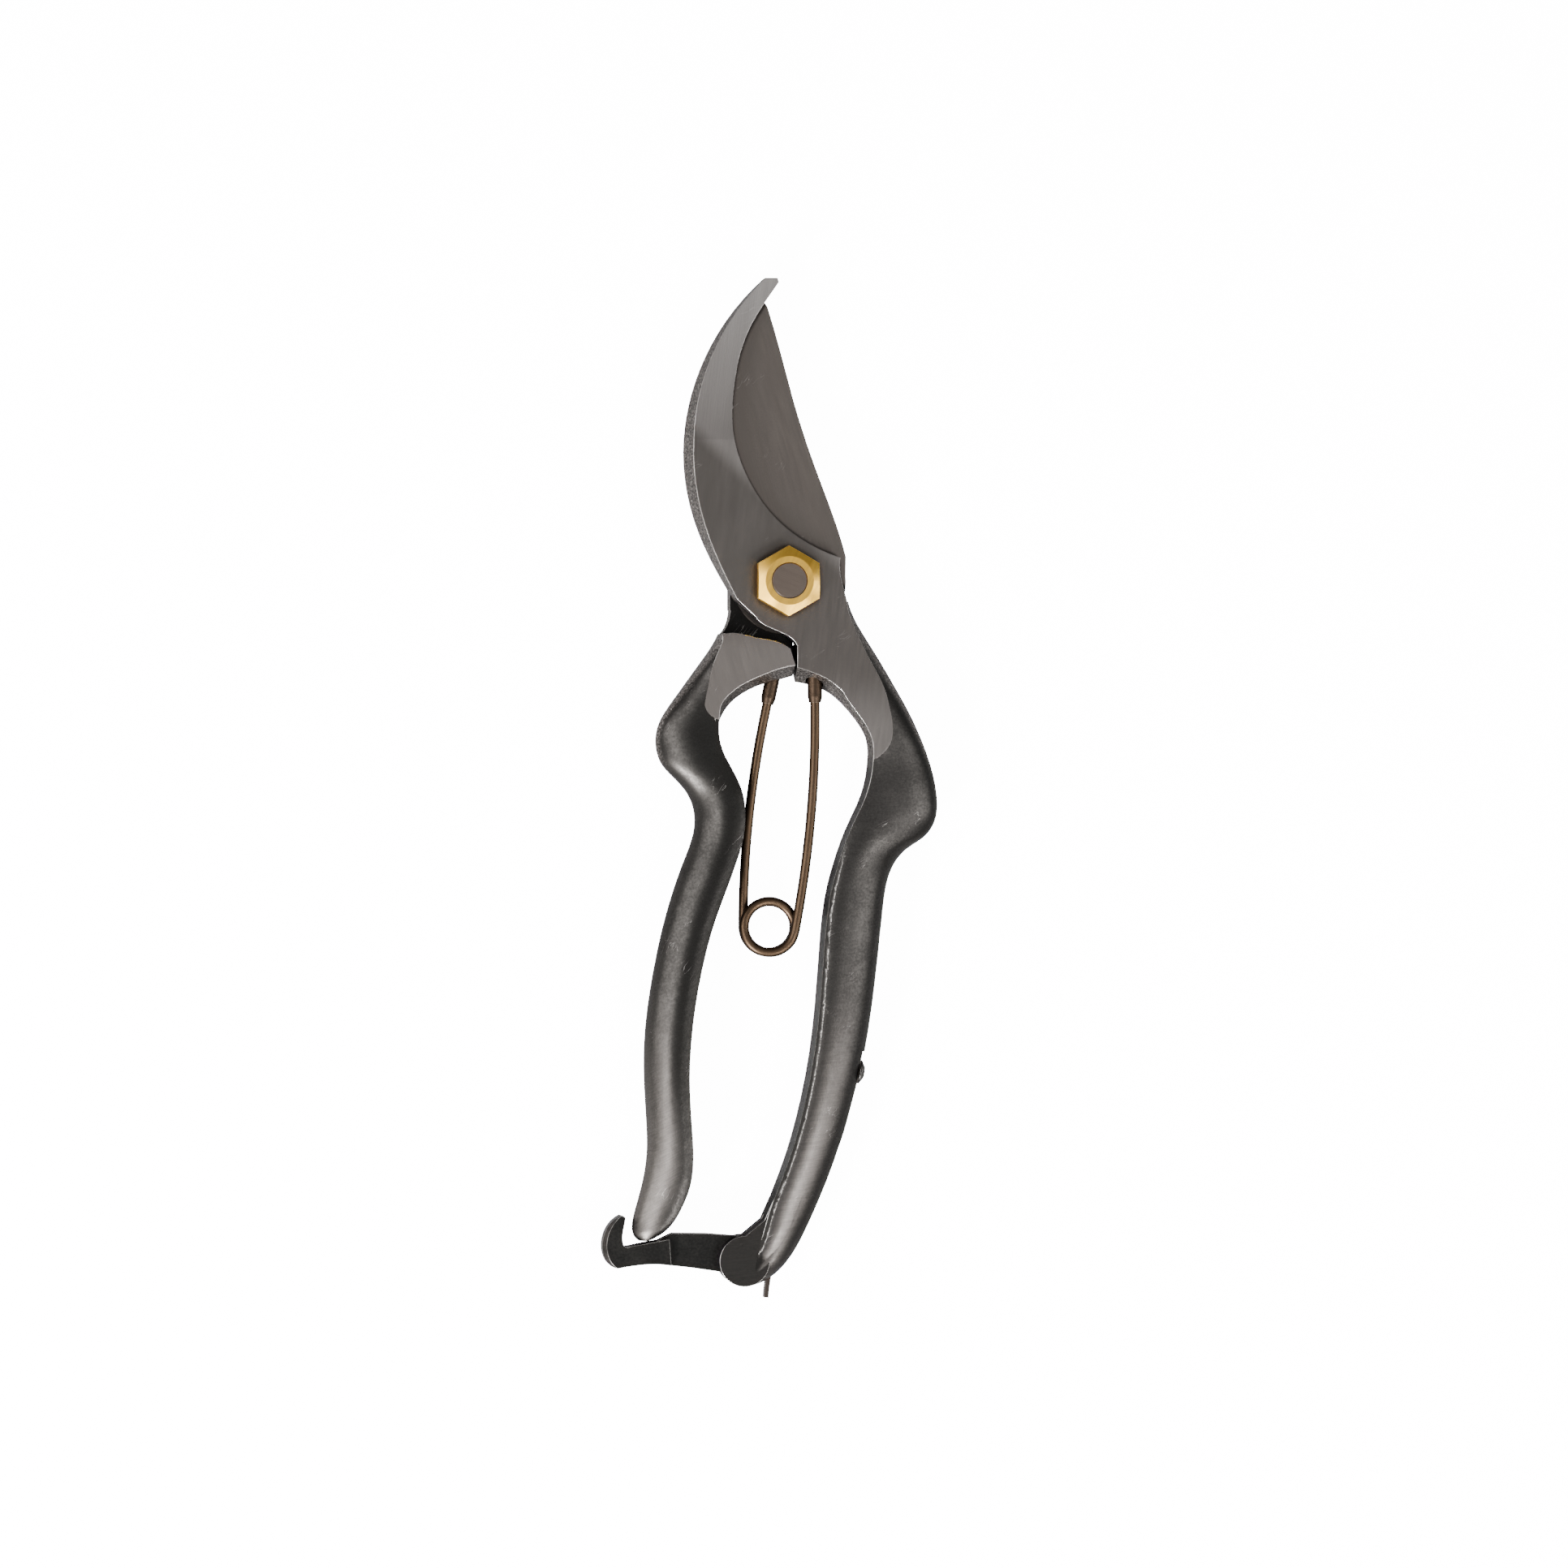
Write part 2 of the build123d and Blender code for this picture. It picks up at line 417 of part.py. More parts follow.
with BuildPart() as blade_half:
    loft(sections=[blade_outline(-BLADE_THICKNESS, BLADE_GROUND),
                   blade_outline(-LAP_GAP / 2, BLADE_EDGE)], ruled=True)
    loft(sections=[blade_rear(-HEAD_HALF, BLADE_THROAT_TOP),
                   blade_rear(-LAP_GAP / 2, BLADE_THROAT_LOW)], ruled=True)
    loft(sections=[blade_front(-LAP_GAP / 2, BLADE_THROAT_LOW),
                   blade_front(HEAD_HALF, BLADE_THROAT_TOP)], ruled=True)
    with BuildSketch(Plane.XY.offset(SHEAR_HEIGHT - HEAD_HALF)):
        Circle(BOSS_RADIUS)
        with Locations((-BOSS_FLAT - BOSS_RADIUS, 0)):
            Rectangle(2 * BOSS_RADIUS, 2 * BOSS_RADIUS, mode=Mode.SUBTRACT)
    extrude(amount=HEAD_HALF - LAP_GAP / 2)
    loft(sections=grip_sections(LEFT_INNER, LEFT_OUTER, LEFT_HALVES, LEFT_STATIONS,
                                LEFT_DOME_START))
    add(ground_planes(), mode=Mode.SUBTRACT)
    # square hole and recess for the bolt, and the socket for the spring
    with BuildSketch(Plane.XY.offset(SHEAR_HEIGHT)):
        Rectangle(BOLT_SQUARE + 2 * RUNNING_FIT, BOLT_SQUARE + 2 * RUNNING_FIT)
    extrude(amount=-2 * HEAD_HALF, mode=Mode.SUBTRACT)
    with BuildSketch(Plane.XY.offset(SHEAR_HEIGHT - HEAD_HALF)):
        Circle(BOLT_HEAD / 2 + RUNNING_FIT)
    extrude(amount=HEAD_RECESS, mode=Mode.SUBTRACT)
    for seat in socket_planes(LEFT_LEG, LEFT_SOCKET_TURN, 4):
        with BuildSketch(seat.offset(-2 * FERRULE_DEPTH)):
            Circle(FERRULE / 2 + LEFT_SOCKET_CLEARANCE)
        extrude(amount=2 * FERRULE_DEPTH + FERRULE_DEPTH / 2 + LEFT_SOCKET_CLEARANCE,
                mode=Mode.SUBTRACT)

# ---- pivot bolt and its nut ----------------------------------------------------------------------
SEAT = HEAD_RECESS - HEAD_HALF
NUT_BASE = HEAD_HALF + NUT_FLOAT
BOLT_TOP = NUT_BASE + NUT_HEIGHT

with BuildPart() as pivot_bolt:
    with BuildSketch(Plane.XY.offset(SHEAR_HEIGHT + SEAT)):
        Circle(BOLT_HEAD / 2)
    extrude(amount=-BOLT_HEAD_THICKNESS)
    rim = pivot_bolt.edges().filter_by(GeomType.CIRCLE).sort_by(Axis.Z)[0]
    chamfer(rim, length=BOLT_HEAD_THICKNESS / 4)
    with BuildSketch(Plane.XY.offset(SHEAR_HEIGHT + SEAT)):
        Rectangle(BOLT_SQUARE, BOLT_SQUARE)
    extrude(amount=-SEAT - LAP_GAP)
    with BuildSketch(Plane.XY.offset(SHEAR_HEIGHT - LAP_GAP)):
        Circle(BOLT_SHANK / 2)
    extrude(amount=HEAD_HALF)
    with BuildSketch(Plane.XY.offset(SHEAR_HEIGHT - LAP_GAP + HEAD_HALF)):
        Circle(BOLT_END / 2)
    extrude(amount=BOLT_TOP + LAP_GAP - HEAD_HALF)
    chamfer(pivot_bolt.edges().sort_by(Axis.Z)[-1], length=END_CHAMFER)

with BuildPart() as pivot_nut:
    with BuildSketch(Plane.XY.offset(SHEAR_HEIGHT + NUT_BASE)):
        RegularPolygon(radius=NUT_ACROSS_FLATS / 2, side_count=6, major_radius=False, rotation=30)
    extrude(amount=NUT_HEIGHT)
    corner = NUT_ACROSS_FLATS / np.sqrt(3) + NUT_FLOAT
    fall = (corner - NUT_FLAT) * np.tan(np.radians(NUT_SLOPE))
    with BuildSketch(Plane.XZ) as turned:
        with BuildLine():
            Polyline((0, SHEAR_HEIGHT + NUT_BASE), (corner, SHEAR_HEIGHT + NUT_BASE),
                     (corner, SHEAR_HEIGHT + BOLT_TOP - fall),
                     (NUT_FLAT, SHEAR_HEIGHT + BOLT_TOP),
                     (0, SHEAR_HEIGHT + BOLT_TOP), close=True)
        make_face()
    revolve(axis=Axis.Z, mode=Mode.INTERSECT)
    with BuildSketch(Plane.XY.offset(SHEAR_HEIGHT + BOLT_TOP)):
        Circle(BOLT_END / 2)
    extrude(amount=-NUT_HEIGHT, mode=Mode.SUBTRACT)

# ---- spring: one wire, in two nodes that meet behind the right leg -------------------------------
def wire_start(path):
    """The round section of the wire, square to a path at its start."""
    with BuildSketch(Plane(origin=path @ 0, z_dir=path % 0)) as drawn:
        Circle(WIRE / 2)
    return drawn.sketch


def wire_joint(angle):
    """Centre of the wire at an angle round the coil."""
    turn = np.radians(angle)
    return (COIL_CENTRE[0] + COIL_DIAMETER / 2 * np.cos(turn),
            COIL_CENTRE[1] + COIL_DIAMETER / 2 * np.sin(turn), SHEAR_HEIGHT + wire_height(angle))


with BuildPart() as spring_right:
    turns = coil_part(COIL_SPLIT, RIGHT_LEG_ANGLE)
    with Locations(wire_joint(RIGHT_LEG_ANGLE)):
        Sphere(WIRE / 2 + WIRE_BEAD)
    sweep(sections=wire_start(turns), path=turns, is_frenet=True)
    sweep(sections=wire_start(RIGHT_LEG), path=RIGHT_LEG)

with BuildPart() as spring_left:
    turns = coil_part(LEFT_LEG_ANGLE, COIL_SPLIT - COIL_SPLIT_GAP)
    with Locations(wire_joint(LEFT_LEG_ANGLE)):
        Sphere(WIRE / 2 + WIRE_BEAD)
    sweep(sections=wire_start(turns), path=turns, is_frenet=True)
    sweep(sections=wire_start(LEFT_LEG), path=LEFT_LEG)


def ferrule_on(line):
    """A sleeve over the end of a leg, with its lower rim drawn in to the wire."""
    tip, along = end_of(line)
    with BuildPart() as sleeve:
        with BuildSketch(Plane(origin=tip, z_dir=-along)):
            Circle(FERRULE / 2)
        extrude(amount=FERRULE_LENGTH)
        rims = sleeve.edges().filter_by(GeomType.CIRCLE)
        chamfer(rims.sort_by(Axis.Y)[0], length=FERRULE_TAPER, length2=(FERRULE - WIRE) / 4,
                reference=sleeve.faces().filter_by(GeomType.CYLINDER)[0])
        chamfer(sleeve.edges().filter_by(GeomType.CIRCLE).sort_by(Axis.Y)[-1],
                length=FERRULE_CHAMFER)
        with BuildSketch(Plane(origin=tip, z_dir=-along)):
            Circle(WIRE / 2)
        extrude(amount=FERRULE_LENGTH, mode=Mode.SUBTRACT)
    return sleeve


ferrule_right = ferrule_on(RIGHT_LEG)
ferrule_left = ferrule_on(LEFT_LEG)

# ---- latch, its pin, and the leaf spring that holds it -------------------------------------------
def latch_hook(height, back):
    """Outline of the latch's hook and bar, with its back as it is at that height."""
    return plan(height, back, LATCH_UNDER, LATCH_STEP, LATCH_TOP, LATCH_NOTCH, LATCH_NIB)


with BuildPart() as latch:
    tongue = plan(-TONGUE_THICKNESS / 2, *joined(*TONGUE, TONGUE[0]))
    extrude(to_extrude=tongue, amount=TONGUE_THICKNESS)
    with BuildSketch(Plane.XY.offset(SHEAR_HEIGHT - TONGUE_THICKNESS / 2)):
        with Locations(LATCH_PIN):
            Circle(TONGUE_EYE)
    extrude(amount=TONGUE_THICKNESS)
    straight = LATCH_THICKNESS / 2 - LATCH_CHAMFER
    extrude(to_extrude=latch_hook(-straight, LATCH_BACK), amount=2 * straight)
    for side in (-1, 1):
        loft(sections=[latch_hook(side * straight, LATCH_BACK),
                       latch_hook(side * LATCH_THICKNESS / 2, LATCH_BACK_RIM)], ruled=True)
    with BuildSketch(Plane.XY.offset(SHEAR_HEIGHT - LATCH_THICKNESS)):
        with Locations(LATCH_PIN):
            Circle(PIN / 2 + RUNNING_FIT)
    extrude(amount=2 * LATCH_THICKNESS, mode=Mode.SUBTRACT)

with BuildPart() as latch_pin:
    with BuildSketch(Plane.XY.offset(SHEAR_HEIGHT - NOSE_HALF)):
        with Locations(LATCH_PIN):
            Circle(PIN / 2)
    extrude(amount=NOSE_HALF + PIN_TOP)

with BuildPart() as latch_spring:
    with BuildSketch(Plane.XY.offset(SHEAR_HEIGHT - LEAF_WIDTH / 2)):
        with BuildLine() as middle:
            Spline(*LEAF_PATH)
        trace(middle.line, LEAF_THICKNESS)
    extrude(amount=LEAF_WIDTH)
    with BuildSketch(RIVET_PLANE):
        Circle(RIVET_SHANK / 2)
    extrude(amount=-RIVET_LENGTH, mode=Mode.SUBTRACT)

with BuildPart() as latch_spring_rivet:
    with BuildSketch(RIVET_PLANE.offset(-RIVET_LENGTH)):
        Circle(RIVET_SHANK / 2)
    extrude(amount=RIVET_LENGTH)
    with BuildSketch(RIVET_PLANE):
        Circle(RIVET_HEAD / 2)
    extrude(amount=RIVET_HEAD_HEIGHT)
    head_rim = latch_spring_rivet.edges().sort_by(Axis.X)[-1]
    chamfer(head_rim, length=RIVET_HEAD_HEIGHT * RIVET_DOME, length2=RIVET_HEAD / 4)

# ---- hand over -----------------------------------------------------------------------------------
PIECES = {
    "hook_half": hook_half, "blade_half": blade_half, "pivot_bolt": pivot_bolt,
    "pivot_nut": pivot_nut, "spring_right": spring_right, "spring_left": spring_left,
    "ferrule_right": ferrule_right, "ferrule_left": ferrule_left, "latch": latch,
    "latch_pin": latch_pin, "latch_spring": latch_spring,
    "latch_spring_rivet": latch_spring_rivet,
}
for name, piece in PIECES.items():
    piece.part.label = name
    export_step(piece.part, f"parts/{name}.step")
    box = piece.part.bounding_box()
    print(name, round(piece.part.volume, 1), len(piece.part.solids()), piece.part.is_valid,
          [round(value, 2) for value in (*box.min, *box.max)])
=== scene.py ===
import json
import math

import bpy
import numpy as np
from mathutils import Matrix, Vector


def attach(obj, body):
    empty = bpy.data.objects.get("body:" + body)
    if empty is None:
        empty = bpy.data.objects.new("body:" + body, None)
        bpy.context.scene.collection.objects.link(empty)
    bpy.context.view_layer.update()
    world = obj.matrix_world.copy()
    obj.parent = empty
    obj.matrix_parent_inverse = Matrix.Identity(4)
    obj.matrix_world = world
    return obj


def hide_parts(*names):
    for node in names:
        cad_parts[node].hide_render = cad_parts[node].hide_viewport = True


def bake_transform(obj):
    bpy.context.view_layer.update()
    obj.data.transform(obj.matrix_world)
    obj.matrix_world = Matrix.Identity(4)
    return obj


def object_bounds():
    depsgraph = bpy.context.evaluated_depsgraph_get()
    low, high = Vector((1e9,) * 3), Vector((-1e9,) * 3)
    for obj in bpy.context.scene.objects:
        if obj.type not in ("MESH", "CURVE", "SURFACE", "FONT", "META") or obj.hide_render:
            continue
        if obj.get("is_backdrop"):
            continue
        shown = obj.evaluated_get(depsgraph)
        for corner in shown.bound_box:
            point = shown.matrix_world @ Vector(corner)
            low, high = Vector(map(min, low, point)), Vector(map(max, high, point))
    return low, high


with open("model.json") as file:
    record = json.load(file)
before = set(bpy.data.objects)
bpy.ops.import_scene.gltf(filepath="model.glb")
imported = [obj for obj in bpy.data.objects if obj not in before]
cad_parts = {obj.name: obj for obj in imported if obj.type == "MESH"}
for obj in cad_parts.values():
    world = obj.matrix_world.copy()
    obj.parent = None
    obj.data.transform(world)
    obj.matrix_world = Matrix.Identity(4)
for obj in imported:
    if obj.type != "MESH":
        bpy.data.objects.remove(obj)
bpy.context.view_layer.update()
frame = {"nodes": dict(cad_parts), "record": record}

MM = 0.001
JOINTS = {joint["name"]: joint for joint in frame["record"]["behaviour"]["joints"]}

# ---- sizes shared by the pieces, in metres -------------------------------------------------------
SHEAR = JOINTS["opening"]["pos_m"][2]           # height of the plane where the halves meet
GRINDING_END = -37.0 * MM                       # how far down the hook half the head is ground
BLADE_GRINDING_END = -28.0 * MM                 # and down the blade half

WIRE_RADIUS = 0.95 * MM
COIL_CENTRE = np.array(JOINTS["spring_coil"]["pos_m"])
COIL_RADIUS = 5.05 * MM
COIL_PITCH = 2.1 * MM
RIGHT_LEG_TOP = (5.9 * MM, -25.8 * MM)
LEFT_LEG_TOP = (-3.7 * MM, -26.0 * MM)
LEG_STRAIGHT = 8.2 * MM
LEG_ANGLES = (-11.0, -540.0)                    # degrees round the coil where the legs leave it


# ==================================================================================================
# Mesh helpers
# ==================================================================================================
def mesh_piece(name, points, quads, caps=(), smooth=True):
    """A mesh object in the row frame from whole arrays of points and four-sided faces; caps are
    closed rings of point numbers, each filled with one flat face."""
    mesh = bpy.data.meshes.new(name)
    faces = [tuple(face) for face in np.asarray(quads).tolist()]
    faces += [tuple(cap) for cap in caps]
    mesh.from_pydata(np.asarray(points).reshape(-1, 3).tolist(), [], faces)
    mesh.validate()
    mesh.update()
    if smooth:
        mesh.polygons.foreach_set("use_smooth", np.ones(len(mesh.polygons), dtype=bool))
    piece = bpy.data.objects.new(name, mesh)
    bpy.context.scene.collection.objects.link(piece)
    return piece


def grid_faces(rows, columns, wrap_rows=False, wrap_columns=False):
    """Four-sided faces of a grid of points counted row by row; a wrapped side joins on to itself."""
    row = np.arange(rows if wrap_rows else rows - 1)
    column = np.arange(columns if wrap_columns else columns - 1)
    i, j = np.meshgrid(row, column, indexing="ij")
    i = i.ravel()
    j = j.ravel()
    below = (i + 1) % rows
    beside = (j + 1) % columns
    return np.stack([i * columns + j, i * columns + beside, below * columns + beside,
                     below * columns + j], axis=1)


def tube(name, path, radius, sides=28):
    """A round tube along a path that stays close to the XY plane. Each ring is the path point plus
    radius times cos(a) of the sideways direction plus sin(a) of the direction square to both; the
    radius may change along the path. Both ends are closed with a flat face."""
    path = np.asarray(path)
    forward = np.gradient(path, axis=0)
    forward /= np.linalg.norm(forward, axis=1, keepdims=True)
    side = np.cross(forward, [0.0, 0.0, 1.0])
    side /= np.linalg.norm(side, axis=1, keepdims=True)
    lift = np.cross(side, forward)
    turn = np.linspace(0, 2 * np.pi, sides, endpoint=False)
    spread = np.broadcast_to(np.asarray(radius, dtype=float), (len(path),))[:, None, None]
    ring = np.cos(turn)[None, :, None] * side[:, None] + np.sin(turn)[None, :, None] * lift[:, None]
    points = path[:, None] + spread * ring
    quads = grid_faces(len(path), sides, wrap_columns=True)
    last = (len(path) - 1) * sides
    return mesh_piece(name, points, quads,
                      caps=[range(sides), range(last + sides - 1, last - 1, -1)])


# ==================================================================================================
# Material helpers and the effects that several finishes share
# ==================================================================================================
def sockets(tree, kind, named):
    """Adds group sockets of one direction from {name: (type, default)}."""
    for name, (socket_type, default) in named.items():
        made = tree.interface.new_socket(name=name, in_out=kind, socket_type=socket_type)
        if default is not None:
            made.default_value = default


def add_node(tree, kind, settings=None, **inputs):
    """One node with its settings and inputs; an input that is a socket is linked."""
    made = tree.nodes.new(kind)
    for key, value in (settings or {}).items():
        setattr(made, key, value)
    for key, value in inputs.items():
        name = key.replace("_", " ")
        target = made.inputs[int(name[1:])] if name[0] == "n" and name[1:].isdigit() else made.inputs[name]
        if isinstance(value, bpy.types.NodeSocket):
            tree.links.new(value, target)
        else:
            target.default_value = value
    return made


def maths(tree, operation, first, second=None, clamp=False):
    """A Math node's result."""
    made = tree.nodes.new("ShaderNodeMath")
    made.operation = operation
    made.use_clamp = clamp
    for index, value in enumerate((first, second)):
        if value is None:
            continue
        if isinstance(value, bpy.types.NodeSocket):
            tree.links.new(value, made.inputs[index])
        else:
            made.inputs[index].default_value = value
    return made.outputs[0]


def spread(tree, value, low, high, to_low=0.0, to_high=1.0, kind="SMOOTHSTEP"):
    """A Map Range node's result: value between low and high becomes to_low to to_high."""
    made = tree.nodes.new("ShaderNodeMapRange")
    made.interpolation_type = kind
    tree.links.new(value, made.inputs["Value"])
    for name, number in (("From Min", low), ("From Max", high), ("To Min", to_low),
                         ("To Max", to_high)):
        if isinstance(number, bpy.types.NodeSocket):
            tree.links.new(number, made.inputs[name])
        else:
            made.inputs[name].default_value = number
    return made.outputs["Result"]


def blend_colour(tree, share, first, second, how="MIX"):
    """Two colours mixed by a share."""
    made = tree.nodes.new("ShaderNodeMix")
    made.data_type = "RGBA"
    made.blend_type = how
    for socket, value in ((made.inputs[0], share), (made.inputs[6], first), (made.inputs[7], second)):
        if isinstance(value, bpy.types.NodeSocket):
            tree.links.new(value, socket)
        else:
            socket.default_value = value if not isinstance(value, tuple) else (*value, 1.0)[:4]
    return made.outputs[2]


def blend_value(tree, share, first, second):
    """Two numbers mixed by a share."""
    made = tree.nodes.new("ShaderNodeMix")
    made.data_type = "FLOAT"
    for socket, value in ((made.inputs[0], share), (made.inputs[2], first), (made.inputs[3], second)):
        if isinstance(value, bpy.types.NodeSocket):
            tree.links.new(value, socket)
        else:
            socket.default_value = value
    return made.outputs[0]


def new_group(name, inputs, outputs):
    """An empty node group with its sockets and end nodes."""
    group = bpy.data.node_groups.new(name, "ShaderNodeTree")
    sockets(group, "INPUT", inputs)
    sockets(group, "OUTPUT", outputs)
    start = group.nodes.new("NodeGroupInput")
    end = group.nodes.new("NodeGroupOutput")
    return group, start, end


FLOAT = "NodeSocketFloat"
VECTOR = "NodeSocketVector"


def edge_wear_group():
    """Worn edges: where the surface turns sharply within a small distance, broken up by noise."""
    group, start, end = new_group("edge_wear", {
        "Position": (VECTOR, None), "Width": (FLOAT, 0.25 * MM), "Breakup": (FLOAT, 0.4)},
        {"Mask": (FLOAT, None), "Normal": (VECTOR, None)})
    rounded = add_node(group, "ShaderNodeBevel", {"samples": 8}, Radius=start.outputs["Width"])
    plain = group.nodes.new("ShaderNodeNewGeometry")
    turned_by = add_node(group, "ShaderNodeVectorMath", {"operation": "DOT_PRODUCT"},
                         n0=rounded.outputs["Normal"], n1=plain.outputs["Normal"])
    edge = spread(group, turned_by.outputs["Value"], 0.99, 0.90)
    patches = add_node(group, "ShaderNodeTexNoise", None, Vector=start.outputs["Position"],
                       Scale=420.0, Detail=3.0)
    broken = spread(group, patches.outputs["Fac"], 0.35, 0.62)
    kept = blend_value(group, start.outputs["Breakup"], 1.0, broken)
    group.links.new(maths(group, "MULTIPLY", edge, kept), end.inputs["Mask"])
    group.links.new(rounded.outputs["Normal"], end.inputs["Normal"])
    return group


def corner_shade_group():
    """Painted shade in corners: darker where much of the sky close by is hidden."""
    group, start, end = new_group("painted_corner_shade", {
        "Reach": (FLOAT, 1.0 * MM), "Open": (FLOAT, 0.92), "Closed": (FLOAT, 0.55)},
        {"Mask": (FLOAT, None)})
    hidden = add_node(group, "ShaderNodeAmbientOcclusion", {"samples": 16},
                      Distance=start.outputs["Reach"])
    group.links.new(spread(group, hidden.outputs["AO"], start.outputs["Open"],
                           start.outputs["Closed"]), end.inputs["Mask"])
    return group


def brushed_group():
    """Fine grinding lines: noise squeezed across the lines and stretched along them."""
    group, start, end = new_group("grinding_lines", {
        "Position": (VECTOR, None), "Turn": (FLOAT, 0.0), "Fineness": (FLOAT, 4200.0)},
        {"Lines": (FLOAT, None), "Drift": (FLOAT, None)})
    turned_by = add_node(group, "ShaderNodeVectorRotate", {"rotation_type": "Z_AXIS"},
                         Vector=start.outputs["Position"], Angle=start.outputs["Turn"])
    squeezed = add_node(group, "ShaderNodeVectorMath", {"operation": "MULTIPLY"},
                        n0=turned_by.outputs["Vector"], n1=(1.0, 0.035, 0.2))
    lines = add_node(group, "ShaderNodeTexNoise", None, Vector=squeezed.outputs["Vector"],
                     Scale=start.outputs["Fineness"], Detail=4.0, Roughness=0.65)
    drift = add_node(group, "ShaderNodeTexNoise", None, Vector=squeezed.outputs["Vector"],
                     Scale=260.0, Detail=3.0)
    group.links.new(lines.outputs["Fac"], end.inputs["Lines"])
    group.links.new(drift.outputs["Fac"], end.inputs["Drift"])
    return group


def forge_skin_group():
    """Forging skin: broad dents, a fine scale and scattered small pits."""
    group, start, end = new_group("forging_skin", {"Position": (VECTOR, None)},
                                  {"Height": (FLOAT, None), "Tone": (FLOAT, None),
                                   "Grain": (FLOAT, None)})
    broad = add_node(group, "ShaderNodeTexNoise", None, Vector=start.outputs["Position"],
                     Scale=210.0, Detail=2.0)
    fine = add_node(group, "ShaderNodeTexNoise", None, Vector=start.outputs["Position"],
                    Scale=1900.0, Detail=5.0, Roughness=0.7)
    cells = add_node(group, "ShaderNodeTexVoronoi", None, Vector=start.outputs["Position"],
                     Scale=430.0, Randomness=1.0)
    pit = spread(group, cells.outputs["Distance"], 0.17, 0.05)
    few = add_node(group, "ShaderNodeTexNoise", None, Vector=start.outputs["Position"],
                   Scale=330.0, Detail=1.0)
    chosen = spread(group, few.outputs["Fac"], 0.6, 0.68)
    pits = maths(group, "MULTIPLY", pit, chosen)
    surface = maths(group, "ADD", maths(group, "MULTIPLY", broad.outputs["Fac"], 0.9),
                    maths(group, "MULTIPLY", fine.outputs["Fac"], 0.32))
    group.links.new(maths(group, "SUBTRACT", surface, maths(group, "MULTIPLY", pits, 0.6)),
                    end.inputs["Height"])
    group.links.new(maths(group, "ADD", maths(group, "MULTIPLY", broad.outputs["Fac"], 0.3),
                          maths(group, "MULTIPLY", fine.outputs["Fac"], 0.7)), end.inputs["Tone"])
    grain = add_node(group, "ShaderNodeTexNoise", None, Vector=start.outputs["Position"],
                     Scale=2600.0, Detail=3.0, Roughness=0.6)
    group.links.new(grain.outputs["Fac"], end.inputs["Grain"])
    return group


def scratch_group():
    """Stray scratches: thin bright lines where a stretched noise crosses its middle value."""
    group, start, end = new_group("scratches", {
        "Position": (VECTOR, None), "Turn": (FLOAT, 0.6), "Amount": (FLOAT, 0.5)},
        {"Mask": (FLOAT, None)})
    turned_by = add_node(group, "ShaderNodeVectorRotate", {"rotation_type": "Z_AXIS"},
                         Vector=start.outputs["Position"], Angle=start.outputs["Turn"])
    long_ways = add_node(group, "ShaderNodeVectorMath", {"operation": "MULTIPLY"},
                         n0=turned_by.outputs["Vector"], n1=(1.0, 0.12, 1.0))
    bent = add_node(group, "ShaderNodeTexNoise", None, Vector=long_ways.outputs["Vector"],
                    Scale=900.0, Detail=2.0)
    away = maths(group, "ABSOLUTE", maths(group, "SUBTRACT", bent.outputs["Fac"], 0.5))
    line = spread(group, away, 0.008, 0.002)
    where = add_node(group, "ShaderNodeTexNoise", None, Vector=start.outputs["Position"],
                     Scale=160.0, Detail=2.0)
    patch = spread(group, where.outputs["Fac"], 0.60, 0.72)
    group.links.new(maths(group, "MULTIPLY", maths(group, "MULTIPLY", line, patch),
                          start.outputs["Amount"]), end.inputs["Mask"])
    return group


GROUPS = {"edge_wear": edge_wear_group(), "grinding_lines": brushed_group(),
          "forging_skin": forge_skin_group(), "scratches": scratch_group(),
          "painted_corner_shade": corner_shade_group()}


def effect(tree, name, **inputs):
    """One of the shared effects, placed in a material with its own values."""
    made = tree.nodes.new("ShaderNodeGroup")
    made.node_tree = GROUPS[name]
    for key, value in inputs.items():
        if isinstance(value, bpy.types.NodeSocket):
            tree.links.new(value, made.inputs[key])
        else:
            made.inputs[key].default_value = value
    return made


def new_finish(name):
    """A material with a Principled shader, and the sockets for the place and slope it is at."""
    finish = bpy.data.materials.new(name)
    finish.use_nodes = True
    tree = finish.node_tree
    shader = tree.nodes["Principled BSDF"]
    place = tree.nodes.new("ShaderNodeTexCoord").outputs["Object"]
    apart = add_node(tree, "ShaderNodeSeparateXYZ", None, Vector=place)
    slope = tree.nodes.new("ShaderNodeNewGeometry").outputs["Normal"]
    leaning = add_node(tree, "ShaderNodeSeparateXYZ", None, Vector=slope)
    return finish, tree, shader, place, apart.outputs, leaning.outputs


def bump(tree, shader, height, distance, strength=1.0, after=None):
    """Raises the surface by a height; distance is in metres."""
    made = add_node(tree, "ShaderNodeBump", None, Height=height, Distance=distance,
                    Strength=strength)
    if after is not None:
        tree.links.new(after, made.inputs["Normal"])
    tree.links.new(made.outputs["Normal"], shader.inputs["Normal"])
    return made.outputs["Normal"]


# ==================================================================================================
# Finishes
# ==================================================================================================
GROUND_STEEL = (0.155, 0.138, 0.126)
# Paler ground steel; on the hook it also carries a painted reflection.
PALE_GROUND_AND_REFLECTION = (0.36, 0.33, 0.31)
